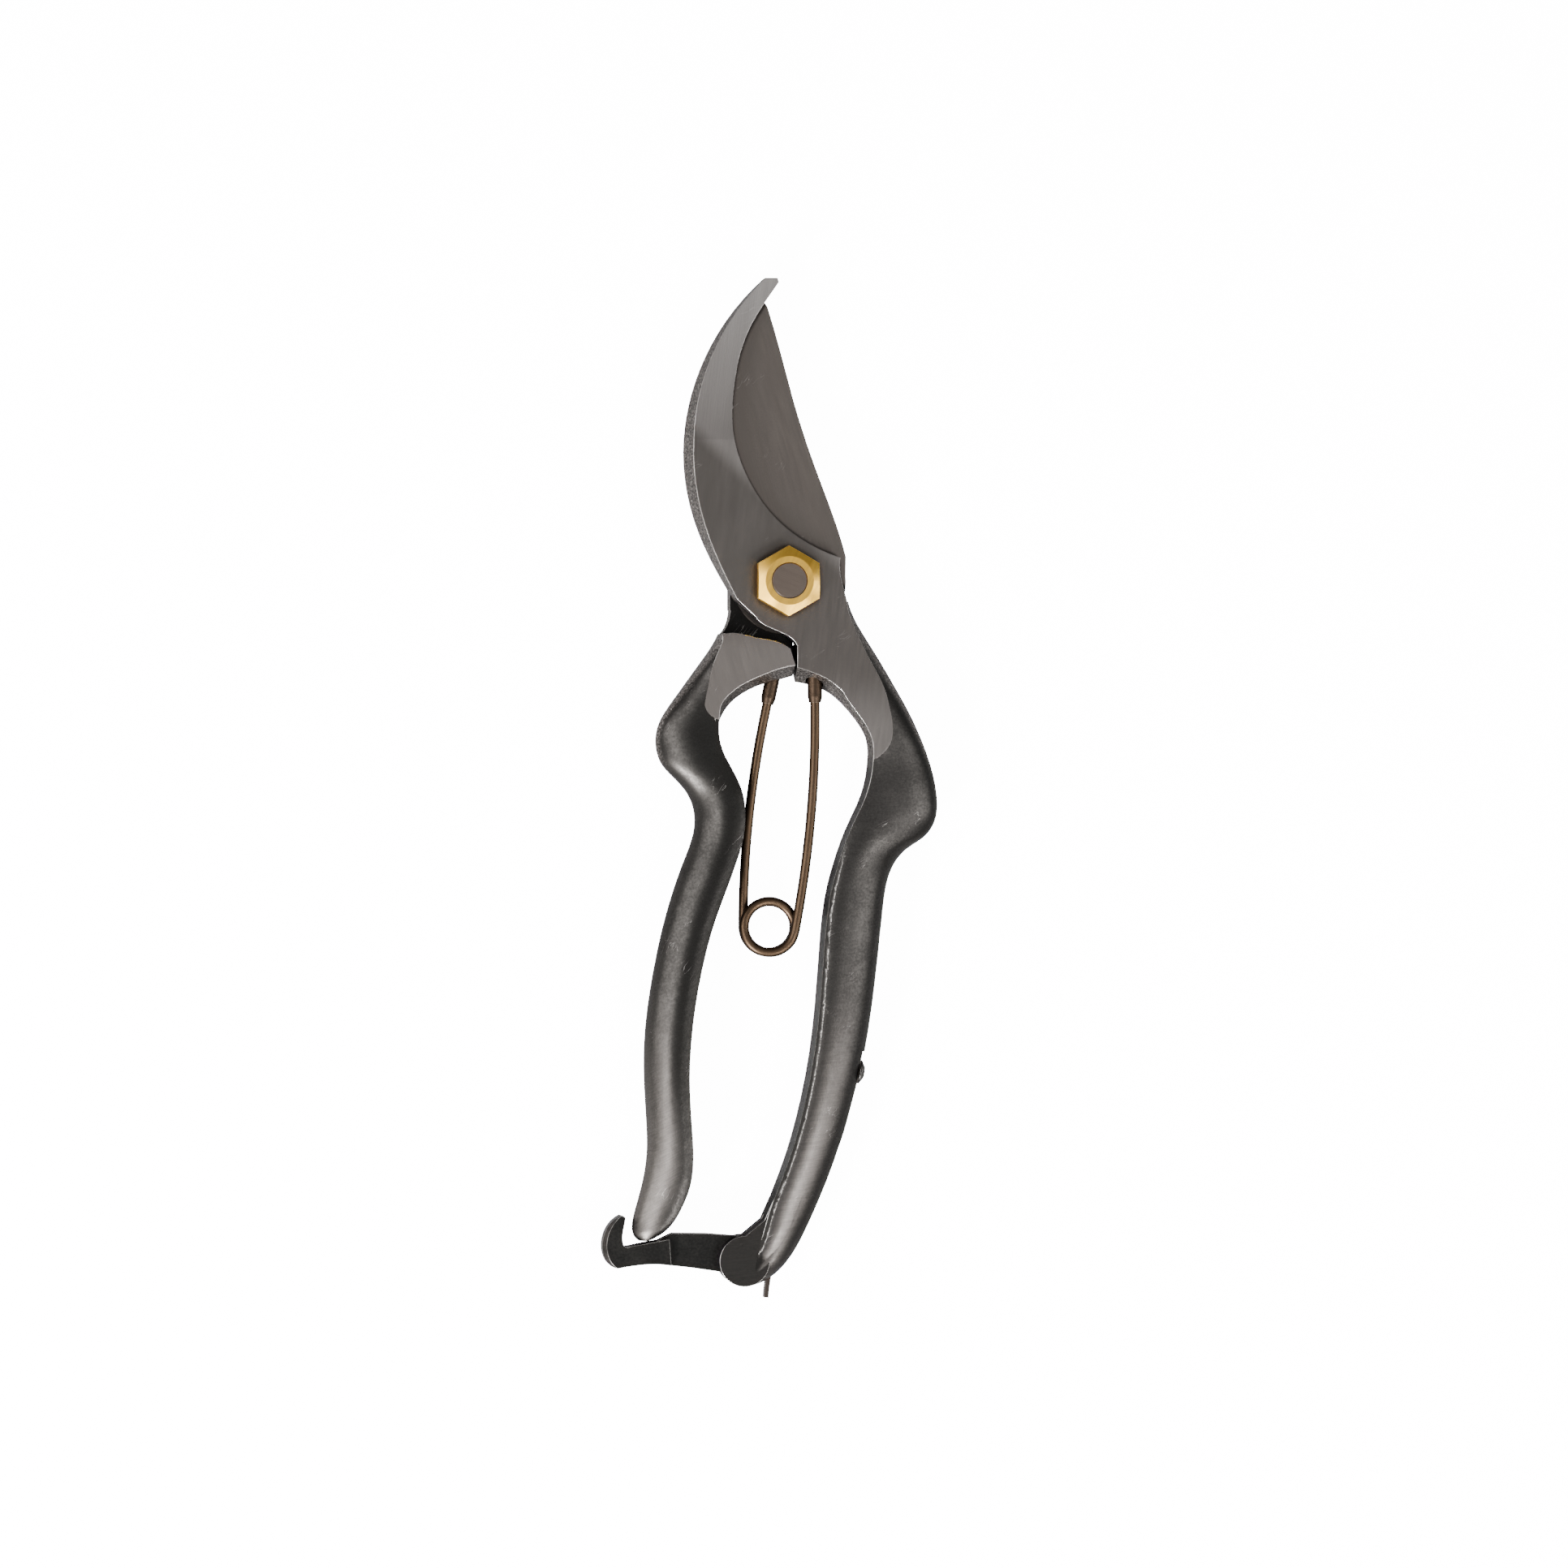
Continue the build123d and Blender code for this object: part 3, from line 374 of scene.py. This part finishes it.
# Painted reflection at the hook's tip.
TIP_PAINTED_REFLECTION = (0.78, 0.74, 0.70)
BLADE_STEEL = (0.200, 0.172, 0.152)
FORGED_BLACK = (0.034, 0.0315, 0.0295)
FORGED_PALE = (0.060, 0.056, 0.052)
PAINTED_GRIP_HIGHLIGHT = (0.185, 0.168, 0.156)                  # painted highlight on the grips, drawn as paler oxide
WORN_BRIGHT = (0.85, 0.81, 0.77)
ROUGH_DARK = (0.050, 0.045, 0.042)
ROUGH_PALE = (0.30, 0.27, 0.25)
# Near black: painted shade in corners, in the recess and on the grips' inner sides, and the latch's real
# black scale.
SHADE_AND_SCALE_BLACK = (0.012, 0.011, 0.010)
HEAD_HALF = 4.9 * MM                            # half of the ground thickness of the head
BOSS_LAP = 10.3 * MM                            # radius of the lap ground round the bolt
LATCH_OXIDE = (0.100, 0.090, 0.083)
WALL_LEAN = -0.33                               # where the grip's inner wall begins
NOSE_HALF = 4.1 * MM                            # half of the thickness of the nose


def near(tree, value, place, reach):
    """1 where a value is within reach of a place, 0 elsewhere."""
    away = maths(tree, "ABSOLUTE", maths(tree, "SUBTRACT", value, place))
    return spread(tree, away, reach, 0.6 * reach)


def ground_mask(tree, at, lean, grinding_end):
    """1 on the ground faces: level faces of the head, on the handles only at the height of the
    grinding, and on the lap face (seen where the halves part) only round the bolt and above it."""
    upright = maths(tree, "ABSOLUTE", lean["Z"])
    level = spread(tree, upright, 0.975, 0.99)
    height = maths(tree, "ABSOLUTE", maths(tree, "SUBTRACT", at["Z"], SHEAR))
    outside = maths(tree, "MULTIPLY", near(tree, height, HEAD_HALF, 0.02 * MM),
                    spread(tree, at["Y"], grinding_end, grinding_end + 0.5 * MM))
    above = spread(tree, at["Y"], -1.0 * MM, 0.0)
    across = maths(tree, "MULTIPLY", at["X"], at["X"])
    along = maths(tree, "MULTIPLY", at["Y"], at["Y"])
    radius = maths(tree, "SQRT", maths(tree, "ADD", across, along))
    ring = spread(tree, radius, BOSS_LAP + 0.2 * MM, BOSS_LAP)
    where = maths(tree, "MAXIMUM", outside, maths(tree, "MAXIMUM", above, ring))
    return maths(tree, "MULTIPLY", level, where)


def steel_tone(tree, at, hook):
    """Tone of the ground faces. The hook is paler above a soft slanting line, most at its tip: a painted
    reflection of its slightly hollow, sloping ground face. Both halves are a little paler low on the
    shoulders."""
    low = spread(tree, at["Y"], -16.0 * MM, -30.0 * MM, 0.0, 0.55)
    if not hook:
        low = spread(tree, at["Y"], -8.0 * MM, -14.0 * MM, 0.0, 0.45)
        return blend_colour(tree, low, BLADE_STEEL, PALE_GROUND_AND_REFLECTION)
    # Painted reflection: the upper part of the hook's ground face and its tip are paler.
    slant = maths(tree, "ADD", at["Y"], maths(tree, "MULTIPLY", at["X"], 0.94))
    above = spread(tree, slant, 10.0 * MM, 15.5 * MM)
    tip = spread(tree, at["Y"], 30.0 * MM, 62.0 * MM, 0.0, 0.85, kind="LINEAR")
    base = blend_colour(tree, low, GROUND_STEEL, PALE_GROUND_AND_REFLECTION)
    paler = blend_colour(tree, above, base, PALE_GROUND_AND_REFLECTION)
    return blend_colour(tree, maths(tree, "MULTIPLY", tip, above), paler, TIP_PAINTED_REFLECTION)


def worn_edges(tree, at, wear, hook):
    """Where the edges are worn: all of them a little, those of the outer faces most; on the hook,
    the inner edge beside the blade stays dark."""
    height = maths(tree, "ABSOLUTE", maths(tree, "SUBTRACT", at["Z"], SHEAR))
    outer = spread(tree, height, 2.6 * MM, 3.6 * MM, 0.25, 1.0)
    mask = maths(tree, "MULTIPLY", wear.outputs["Mask"], outer)
    if not hook:
        return mask
    facing = add_node(tree, "ShaderNodeSeparateXYZ", None, Vector=wear.outputs["Normal"])
    inner = maths(tree, "MULTIPLY", spread(tree, facing.outputs["X"], 0.05, 0.2),
                  spread(tree, at["Y"], 2.0 * MM, 4.0 * MM))
    return maths(tree, "MULTIPLY", mask, maths(tree, "SUBTRACT", 1.0, inner))


def dark_nose_and_recess_shade(tree, at, lean, hook):
    """1 on two level faces that are darkened: the flat of the nose that holds the latch, and the floor of
    the recess between the boss and the shoulder, where the darkening is painted shade."""
    height = maths(tree, "SUBTRACT", at["Z"], SHEAR)
    level = spread(tree, lean["Z"], 0.9, 0.98)
    place = near(tree, height, NOSE_HALF if hook else 0.0, 0.3 * MM)
    where = spread(tree, at["Y"], *((-120.0 * MM, -124.0 * MM) if hook else (0.0, -1.0 * MM)))
    return maths(tree, "MULTIPLY", maths(tree, "MULTIPLY", level, place), where)


def painted_grip_highlight(tree, at, lean, hook):
    """A painted highlight on the grips, drawn as paler oxide: most near their ends, on the crest of the
    hook half and on the outer side of the blade half. It stands for light that the lamps don't give."""
    along = spread(tree, at["Y"], -74.0 * MM, -124.0 * MM, 0.05, 0.95)
    if hook:
        away = maths(tree, "ABSOLUTE", maths(tree, "SUBTRACT", lean["X"], 0.16))
        side = spread(tree, away, 0.12, 0.42, 1.0, 0.1)
    else:
        side = spread(tree, lean["X"], 0.08, -0.22, 0.05, 1.0)
    return maths(tree, "MULTIPLY", along, side)


def inner_wall_shade_and_rim(tree, at, lean):
    """Painted shade on the inner wall of the hook half's grip, and the thin bright worn rim beside it,
    both by how far the surface leans towards the other grip. The painted shade reaches a little past
    the upright wall on to the rounded face, so the wall looks deeper than it is."""
    below = spread(tree, at["Y"], -50.0 * MM, -62.0 * MM)
    wall = spread(tree, lean["X"], WALL_LEAN, WALL_LEAN - 0.03)
    rim = near(tree, lean["X"], WALL_LEAN + 0.02, 0.02)
    front = spread(tree, lean["Z"], 0.0, 0.05)
    return (maths(tree, "MULTIPLY", below, wall),
            maths(tree, "MULTIPLY", maths(tree, "MULTIPLY", below, rim), front))


def forged_half(name, hook, turn, grinding_end):
    """One half of the tool: ground flats on the head, black forging skin on the handles, rough
    drafted flanks with bright specks, and edges worn bright."""
    finish, tree, shader, place, at, lean = new_finish(name)
    ground = ground_mask(tree, at, lean, grinding_end)
    on_head = spread(tree, at["Y"], GRINDING_END - 1.0 * MM, GRINDING_END + 4.0 * MM)
    steep = spread(tree, maths(tree, "ABSOLUTE", lean["Z"]), 0.75, 0.45)
    flank = maths(tree, "MULTIPLY", steep, on_head)
    lines = effect(tree, "grinding_lines", Position=place, Turn=turn, Fineness=3600.0)
    skin = effect(tree, "forging_skin", Position=place)
    filed = effect(tree, "grinding_lines", Position=place, Turn=turn + 1.35, Fineness=4200.0)
    across = spread(tree, filed.outputs["Lines"], 0.35, 0.65)
    wear = effect(tree, "edge_wear", Position=place, Width=0.20 * MM, Breakup=0.35)
    scratch = effect(tree, "scratches", Position=place, Turn=turn + 0.9, Amount=0.3)
    # How much painted shade the corners get on this half.
    corner = effect(tree, "painted_corner_shade", Reach=1.8 * MM, Open=0.92 if hook else 0.80,
                    Closed=0.55 if hook else 0.70)
    worn = worn_edges(tree, at, wear, hook)
    streak = spread(tree, lines.outputs["Lines"], 0.3, 0.7)
    cloud = spread(tree, lines.outputs["Drift"], 0.35, 0.68)
    tone = steel_tone(tree, at, hook)
    darker = blend_colour(tree, maths(tree, "MULTIPLY", streak, 0.22), tone,
                          tuple(0.6 * value for value in GROUND_STEEL))
    ground_colour = blend_colour(tree, maths(tree, "MULTIPLY", cloud, 0.2), darker,
                                 tuple(1.3 * value for value in GROUND_STEEL))
    black = blend_colour(tree, spread(tree, skin.outputs["Tone"], 0.38, 0.62), FORGED_BLACK,
                         FORGED_PALE)
    grain = spread(tree, skin.outputs["Grain"], 0.35, 0.65)
    specks = spread(tree, skin.outputs["Grain"], 0.62, 0.70)
    rough_flank = blend_colour(tree, grain, ROUGH_DARK, ROUGH_PALE)
    rough_flank = blend_colour(tree, maths(tree, "MULTIPLY", specks, 0.8), rough_flank, WORN_BRIGHT)
    # Painted highlight: the grips are paler where the lamps give too little light.
    black = blend_colour(tree, painted_grip_highlight(tree, at, lean, hook), black, PAINTED_GRIP_HIGHLIGHT)
    black = blend_colour(tree, maths(tree, "MULTIPLY", across, 0.25), black, FORGED_BLACK)
    # The nose flat is darkened; on the floor of the recess the darkening is painted shade.
    dull = maths(tree, "MULTIPLY", dark_nose_and_recess_shade(tree, at, lean, hook), 0.9)
    black = blend_colour(tree, dull, black, SHADE_AND_SCALE_BLACK)
    if not hook:
        # The inner side of this grip is darkened here, because the lamps leave it too light.
        shaded = maths(tree, "MULTIPLY", spread(tree, lean["X"], -0.42, -0.15, 0.0, 0.65),
                       spread(tree, at["Y"], -116.0 * MM, -94.0 * MM, 0.15, 1.0))
        black = blend_colour(tree, shaded, black, SHADE_AND_SCALE_BLACK)
    else:
        # Painted shade on the inner wall of this grip, and a thin bright worn rim beside it.
        wall, rim = inner_wall_shade_and_rim(tree, at, lean)
        black = blend_colour(tree, wall, black, SHADE_AND_SCALE_BLACK)
        black = blend_colour(tree, maths(tree, "MULTIPLY", rim, maths(tree, "MULTIPLY", grain, 0.45)), black,
                             WORN_BRIGHT)
    black = blend_colour(tree, flank, black, rough_flank)
    colour = blend_colour(tree, ground, black, ground_colour)
    # Painted shade in corners and along the hook's inner edge.
    colour = blend_colour(tree, maths(tree, "MULTIPLY", corner.outputs["Mask"], 0.7), colour,
                          SHADE_AND_SCALE_BLACK)
    colour = blend_colour(tree, scratch.outputs["Mask"], colour, WORN_BRIGHT)
    colour = blend_colour(tree, worn, colour, WORN_BRIGHT)
    tree.links.new(colour, shader.inputs["Base Color"])
    rough_ground = spread(tree, lines.outputs["Lines"], 0.3, 0.7, 0.30, 0.40)
    rough_skin = spread(tree, skin.outputs["Tone"], 0.38, 0.62, 0.40, 0.33)
    rough = blend_value(tree, ground, rough_skin, rough_ground)
    rough = blend_value(tree, worn, rough, 0.30)
    tree.links.new(rough, shader.inputs["Roughness"])
    bright = maths(tree, "MAXIMUM", ground, worn)
    tree.links.new(blend_value(tree, bright, 0.9, 1.0), shader.inputs["Metallic"])
    coarse = blend_value(tree, flank, skin.outputs["Height"],
                         maths(tree, "ADD", skin.outputs["Height"],
                               maths(tree, "MULTIPLY", skin.outputs["Grain"], 1.6)))
    height = blend_value(tree, ground, coarse,
                         maths(tree, "MULTIPLY", lines.outputs["Lines"], 0.06))
    bump(tree, shader, height, 0.05 * MM, 0.6, wear.outputs["Normal"])
    return finish


def plain_metal(name, colour, second, rough, metallic=1.0, fineness=3000.0, turn=0.0,
                wear_width=0.12 * MM, worn=WORN_BRIGHT, wear_breakup=0.4, relief=0.02 * MM,
                wear_share=0.7, streaks=0.55, gloss=0.5):
    """A metal with fine lines, a drifting tone and brighter edges."""
    finish, tree, shader, place, _, _ = new_finish(name)
    lines = effect(tree, "grinding_lines", Position=place, Turn=turn, Fineness=fineness)
    wear = effect(tree, "edge_wear", Position=place, Width=wear_width, Breakup=wear_breakup)
    streak = spread(tree, lines.outputs["Lines"], 0.32, 0.68)
    cloud = spread(tree, lines.outputs["Drift"], 0.35, 0.65)
    base = blend_colour(tree, maths(tree, "MULTIPLY", streak, streaks), colour, second)
    base = blend_colour(tree, maths(tree, "MULTIPLY", cloud, 0.35), base, second)
    base = blend_colour(tree, maths(tree, "MULTIPLY", wear.outputs["Mask"], wear_share), base, worn)
    tree.links.new(base, shader.inputs["Base Color"])
    tree.links.new(spread(tree, lines.outputs["Lines"], 0.3, 0.7, rough - 0.05, rough + 0.06),
                   shader.inputs["Roughness"])
    shader.inputs["Metallic"].default_value = metallic
    shader.inputs["Specular IOR Level"].default_value = gloss
    bump(tree, shader, lines.outputs["Lines"], relief, 0.6)
    return finish


def forged_latch():
    """Black oxide on the small forged latch: dull scale on its level faces, smoother and paler where
    it rounds over, with worn edges."""
    finish, tree, shader, place, _, lean = new_finish("black_oxide_latch")
    skin = effect(tree, "forging_skin", Position=place)
    wear = effect(tree, "edge_wear", Position=place, Width=0.16 * MM, Breakup=0.6)
    level = spread(tree, maths(tree, "ABSOLUTE", lean["Z"]), 0.93, 0.985)
    tone = spread(tree, skin.outputs["Tone"], 0.38, 0.62)
    oxide = blend_colour(tree, tone, FORGED_PALE, LATCH_OXIDE)
    scale = blend_colour(tree, tone, tuple(0.4 * value for value in SHADE_AND_SCALE_BLACK), SHADE_AND_SCALE_BLACK)
    base = blend_colour(tree, level, oxide, scale)
    worn = maths(tree, "MULTIPLY", wear.outputs["Mask"], 0.6)
    tree.links.new(blend_colour(tree, worn, base, WORN_BRIGHT), shader.inputs["Base Color"])
    tree.links.new(blend_value(tree, level, 0.34, 0.5), shader.inputs["Roughness"])
    tree.links.new(blend_value(tree, level, 0.9, 0.1), shader.inputs["Metallic"])
    shader.inputs["Specular IOR Level"].default_value = 0.1
    bump(tree, shader, skin.outputs["Height"], 0.05 * MM, 0.6, wear.outputs["Normal"])
    return finish


HOOK_FINISH = forged_half("forged_hook_half", True, 0.12, GRINDING_END)
BLADE_FINISH = forged_half("forged_blade_half", False, -0.28, BLADE_GRINDING_END)
BRASS = plain_metal("polished_brass", (1.0, 0.60, 0.09), (0.96, 0.54, 0.07), 0.36,
                    metallic=1.0, fineness=2200.0, turn=0.5, worn=(1.0, 0.84, 0.5), wear_share=0.5,
                    relief=0.008 * MM, streaks=0.3)
BOLT_STEEL = plain_metal("ground_bolt_end", (0.22, 0.175, 0.145), (0.15, 0.12, 0.10), 0.36,
                         fineness=2600.0, turn=-1.2, worn=(0.5, 0.46, 0.42))
WIRE_STEEL = plain_metal("bronze_brown_wire", (0.105, 0.068, 0.042), (0.06, 0.038, 0.025), 0.40,
                         fineness=900.0, worn=(0.4, 0.3, 0.2), relief=0.004 * MM, streaks=0.15)
FERRULE_STEEL = plain_metal("brown_ferrule", (0.075, 0.050, 0.034), (0.045, 0.031, 0.022), 0.42,
                            fineness=1800.0, turn=1.57, worn=(0.4, 0.32, 0.24))
LATCH_STEEL = forged_latch()
LEAF_STEEL = plain_metal("tempered_leaf", (0.06, 0.048, 0.041), (0.035, 0.029, 0.025), 0.40,
                         fineness=1800.0, turn=0.4, worn=(0.5, 0.45, 0.4))


def finish_with(piece, material, slot, body=None, *nodes):
    """Gives a piece its material, the body it rides on and what it replaces; the slot is not used."""
    piece.data.materials.clear()
    piece.data.materials.append(material)
    if body is not None:
        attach(piece, body)
    if nodes:
        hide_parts(*nodes)


def repaint(node, material):
    """Puts a material on a CAD node that keeps its own mesh."""
    for holder in frame["nodes"][node].material_slots:
        holder.material = material


# ==================================================================================================
# Pieces
# ==================================================================================================
repaint("hook_half", HOOK_FINISH)
repaint("blade_half", BLADE_FINISH)
repaint("pivot_bolt", BOLT_STEEL)
for node in ("latch_pin", "latch_spring_rivet"):
    repaint(node, LATCH_STEEL)
repaint("pivot_nut", BRASS)
for node in ("ferrule_right", "ferrule_left"):
    repaint(node, FERRULE_STEEL)
repaint("latch", LATCH_STEEL)
repaint("latch_spring", LEAF_STEEL)


def bow(start, top, away, count, straight):
    """A leg of the spring in plan: the arc that leaves start in the direction away and passes
    through top, then a straight run. An arc point is start + R sin(t) away + R (1 - cos(t)) aside,
    with t up to twice the angle between away and the chord."""
    start = np.asarray(start)
    away = np.asarray(away)
    chord = np.asarray(top) - start
    aside = np.array([-away[1], away[0]])
    lean = math.atan2(chord @ aside, chord @ away)
    if lean < 0:
        aside = -aside
        lean = -lean
    radius = np.linalg.norm(chord) / (2 * math.sin(lean))
    t = np.linspace(0, 2 * lean, count)[:, None]
    arc = start + radius * (np.sin(t) * away + (1 - np.cos(t)) * aside)
    onward = math.cos(2 * lean) * away + math.sin(2 * lean) * aside
    run = np.linspace(0, straight, count // 3)[1:, None]
    return np.vstack([arc, arc[-1] + run * onward])


def spring_wire():
    """The spring as one bent wire: down the right leg, one and a half turns of the coil as a helix
    (radius constant, height falling evenly with the angle), and up the left leg."""
    first, last = (math.radians(angle) for angle in LEG_ANGLES)
    turn = np.linspace(first, last, 180)
    coil = COIL_CENTRE[:2] + COIL_RADIUS * np.stack([np.cos(turn), np.sin(turn)], axis=1)
    middle = (first + last) / 2
    level = COIL_PITCH * (turn - middle) / (2 * np.pi)
    right = bow(coil[0], np.array(RIGHT_LEG_TOP), (-math.sin(first), math.cos(first)), 90,
                LEG_STRAIGHT)
    left = bow(coil[-1], np.array(LEFT_LEG_TOP), (0.0, 1.0), 90, LEG_STRAIGHT)
    plan = np.vstack([right[:0:-1], coil, left[1:]])
    height = np.concatenate([np.full(len(right) - 1, level[0]), level,
                             np.full(len(left) - 1, level[-1])])
    ease = np.hanning(15)
    padded = np.concatenate([np.full(7, height[0]), height, np.full(7, height[-1])])
    height = np.convolve(padded, ease / ease.sum(), mode="valid")
    return tube("spring_wire", np.column_stack([plan, SHEAR + height]), WIRE_RADIUS, sides=32)


wire = spring_wire()
finish_with(wire, WIRE_STEEL, "spring_wire", None, "spring_right", "spring_left")
# The bend lies in the part of the coil that is between the two legs, clear of both.
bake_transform(wire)


# ==================================================================================================
# Floor, light and camera
# ==================================================================================================
def make_floor():
    """A pale level floor that the tool lies on."""
    size = 6.0
    mesh = bpy.data.meshes.new("floor")
    mesh.from_pydata([(-size, -size, 0), (size, -size, 0), (size, size, 0), (-size, size, 0)], [],
                     [(0, 1, 2, 3)])
    floor = bpy.data.objects.new("floor", mesh)
    bpy.context.scene.collection.objects.link(floor)
    paint = bpy.data.materials.new("pale_floor")
    paint.use_nodes = True
    tree = paint.node_tree
    tree.nodes.remove(tree.nodes["Principled BSDF"])
    seen = add_node(tree, "ShaderNodeEmission", None, Color=(1.0, 1.0, 1.0, 1.0), Strength=14.0)
    dull = add_node(tree, "ShaderNodeBsdfDiffuse", None, Color=(0.9, 0.9, 0.9, 1.0))
    lit = tree.nodes.new("ShaderNodeAddShader")
    tree.links.new(seen.outputs[0], lit.inputs[0])
    tree.links.new(dull.outputs[0], lit.inputs[1])
    grey = add_node(tree, "ShaderNodeBsdfDiffuse", None, Color=(0.30, 0.30, 0.30, 1.0))
    choose = tree.nodes.new("ShaderNodeMixShader")
    tree.links.new(tree.nodes.new("ShaderNodeLightPath").outputs["Is Camera Ray"],
                   choose.inputs[0])
    tree.links.new(grey.outputs[0], choose.inputs[1])
    tree.links.new(lit.outputs[0], choose.inputs[2])
    clear = tree.nodes.new("ShaderNodeBsdfTransparent")
    below = tree.nodes.new("ShaderNodeMixShader")
    tree.links.new(tree.nodes.new("ShaderNodeNewGeometry").outputs["Backfacing"], below.inputs[0])
    tree.links.new(choose.outputs[0], below.inputs[1])
    tree.links.new(clear.outputs[0], below.inputs[2])
    tree.links.new(below.outputs[0], tree.nodes["Material Output"].inputs["Surface"])
    mesh.materials.append(paint)
    floor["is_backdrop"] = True
    floor.location.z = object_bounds()[0][2] - 0.1 * MM


def soft_light(name, place, aim, size, power, colour=(1.0, 1.0, 1.0)):
    """A large soft lamp aimed at a point."""
    lamp = bpy.data.lights.new(name, "AREA")
    lamp.shape = "RECTANGLE"
    lamp.size = size[0]
    lamp.size_y = size[1]
    lamp.energy = power
    lamp.color = colour
    holder = bpy.data.objects.new(name, lamp)
    bpy.context.scene.collection.objects.link(holder)
    holder.location = place
    holder.rotation_euler = (Vector(aim) - Vector(place)).to_track_quat("-Z", "Y").to_euler()


def make_camera():
    """The camera looks down on the tool through a long lens, turned a little about its length."""
    lean = math.radians(6.5)
    distance = 1.30
    middle = Vector((-0.12 * MM, -40.2 * MM, SHEAR))
    field = 311.8 * MM
    lens = bpy.data.cameras.new("camera")
    lens.sensor_width = 36.0
    lens.lens = 36.0 * distance / field
    holder = bpy.data.objects.new("camera", lens)
    bpy.context.scene.collection.objects.link(holder)
    back = Vector((-math.sin(lean), 0.0, math.cos(lean)))
    up = Vector((0.0, 1.0, 0.0))
    right = up.cross(back).normalized()
    turn = Matrix((right, up, back)).transposed()
    holder.matrix_world = Matrix.Translation(middle + back * distance) @ turn.to_4x4()
    bpy.context.scene.camera = holder


def make_sky():
    """A dim studio: bright overhead, dark towards the horizon."""
    world = bpy.data.worlds.new("studio")
    bpy.context.scene.world = world
    world.use_nodes = True
    tree = world.node_tree
    place = tree.nodes.new("ShaderNodeTexCoord").outputs["Generated"]
    apart = add_node(tree, "ShaderNodeSeparateXYZ", None, Vector=place)
    overhead = spread(tree, apart.outputs["Z"], 0.35, 0.9, 0.05, 0.46)
    background = tree.nodes["Background"]
    background.inputs["Color"].default_value = (0.96, 0.97, 1.0, 1.0)
    tree.links.new(overhead, background.inputs["Strength"])


make_floor()
make_sky()
soft_light("left_window", (-0.95, 0.15, 0.75), (0, -0.03, 0), (0.35, 0.9), 6.5)
soft_light("right_window", (1.0, -0.15, 0.7), (0, -0.05, 0), (0.35, 0.7), 4.5)
soft_light("foot_window", (0.25, -0.95, 0.85), (0, -0.03, 0), (0.4, 0.3), 5.0)
soft_light("left_foot_window", (-0.70, -0.86, 0.60), (-0.02, -0.04, 0), (0.22, 0.22), 28.0)
soft_light("right_box", (0.30, -0.36, 0.69), (0, -0.1, 0), (0.2, 0.2), 2.4)
soft_light("left_box", (-0.52, -0.18, 0.66), (0, -0.1, 0), (0.16, 0.3), 1.6)
soft_light("right_foot_box", (0.58, -0.66, 0.62), (0, 0, 0), (0.12, 0.12), 1.6)
make_camera()
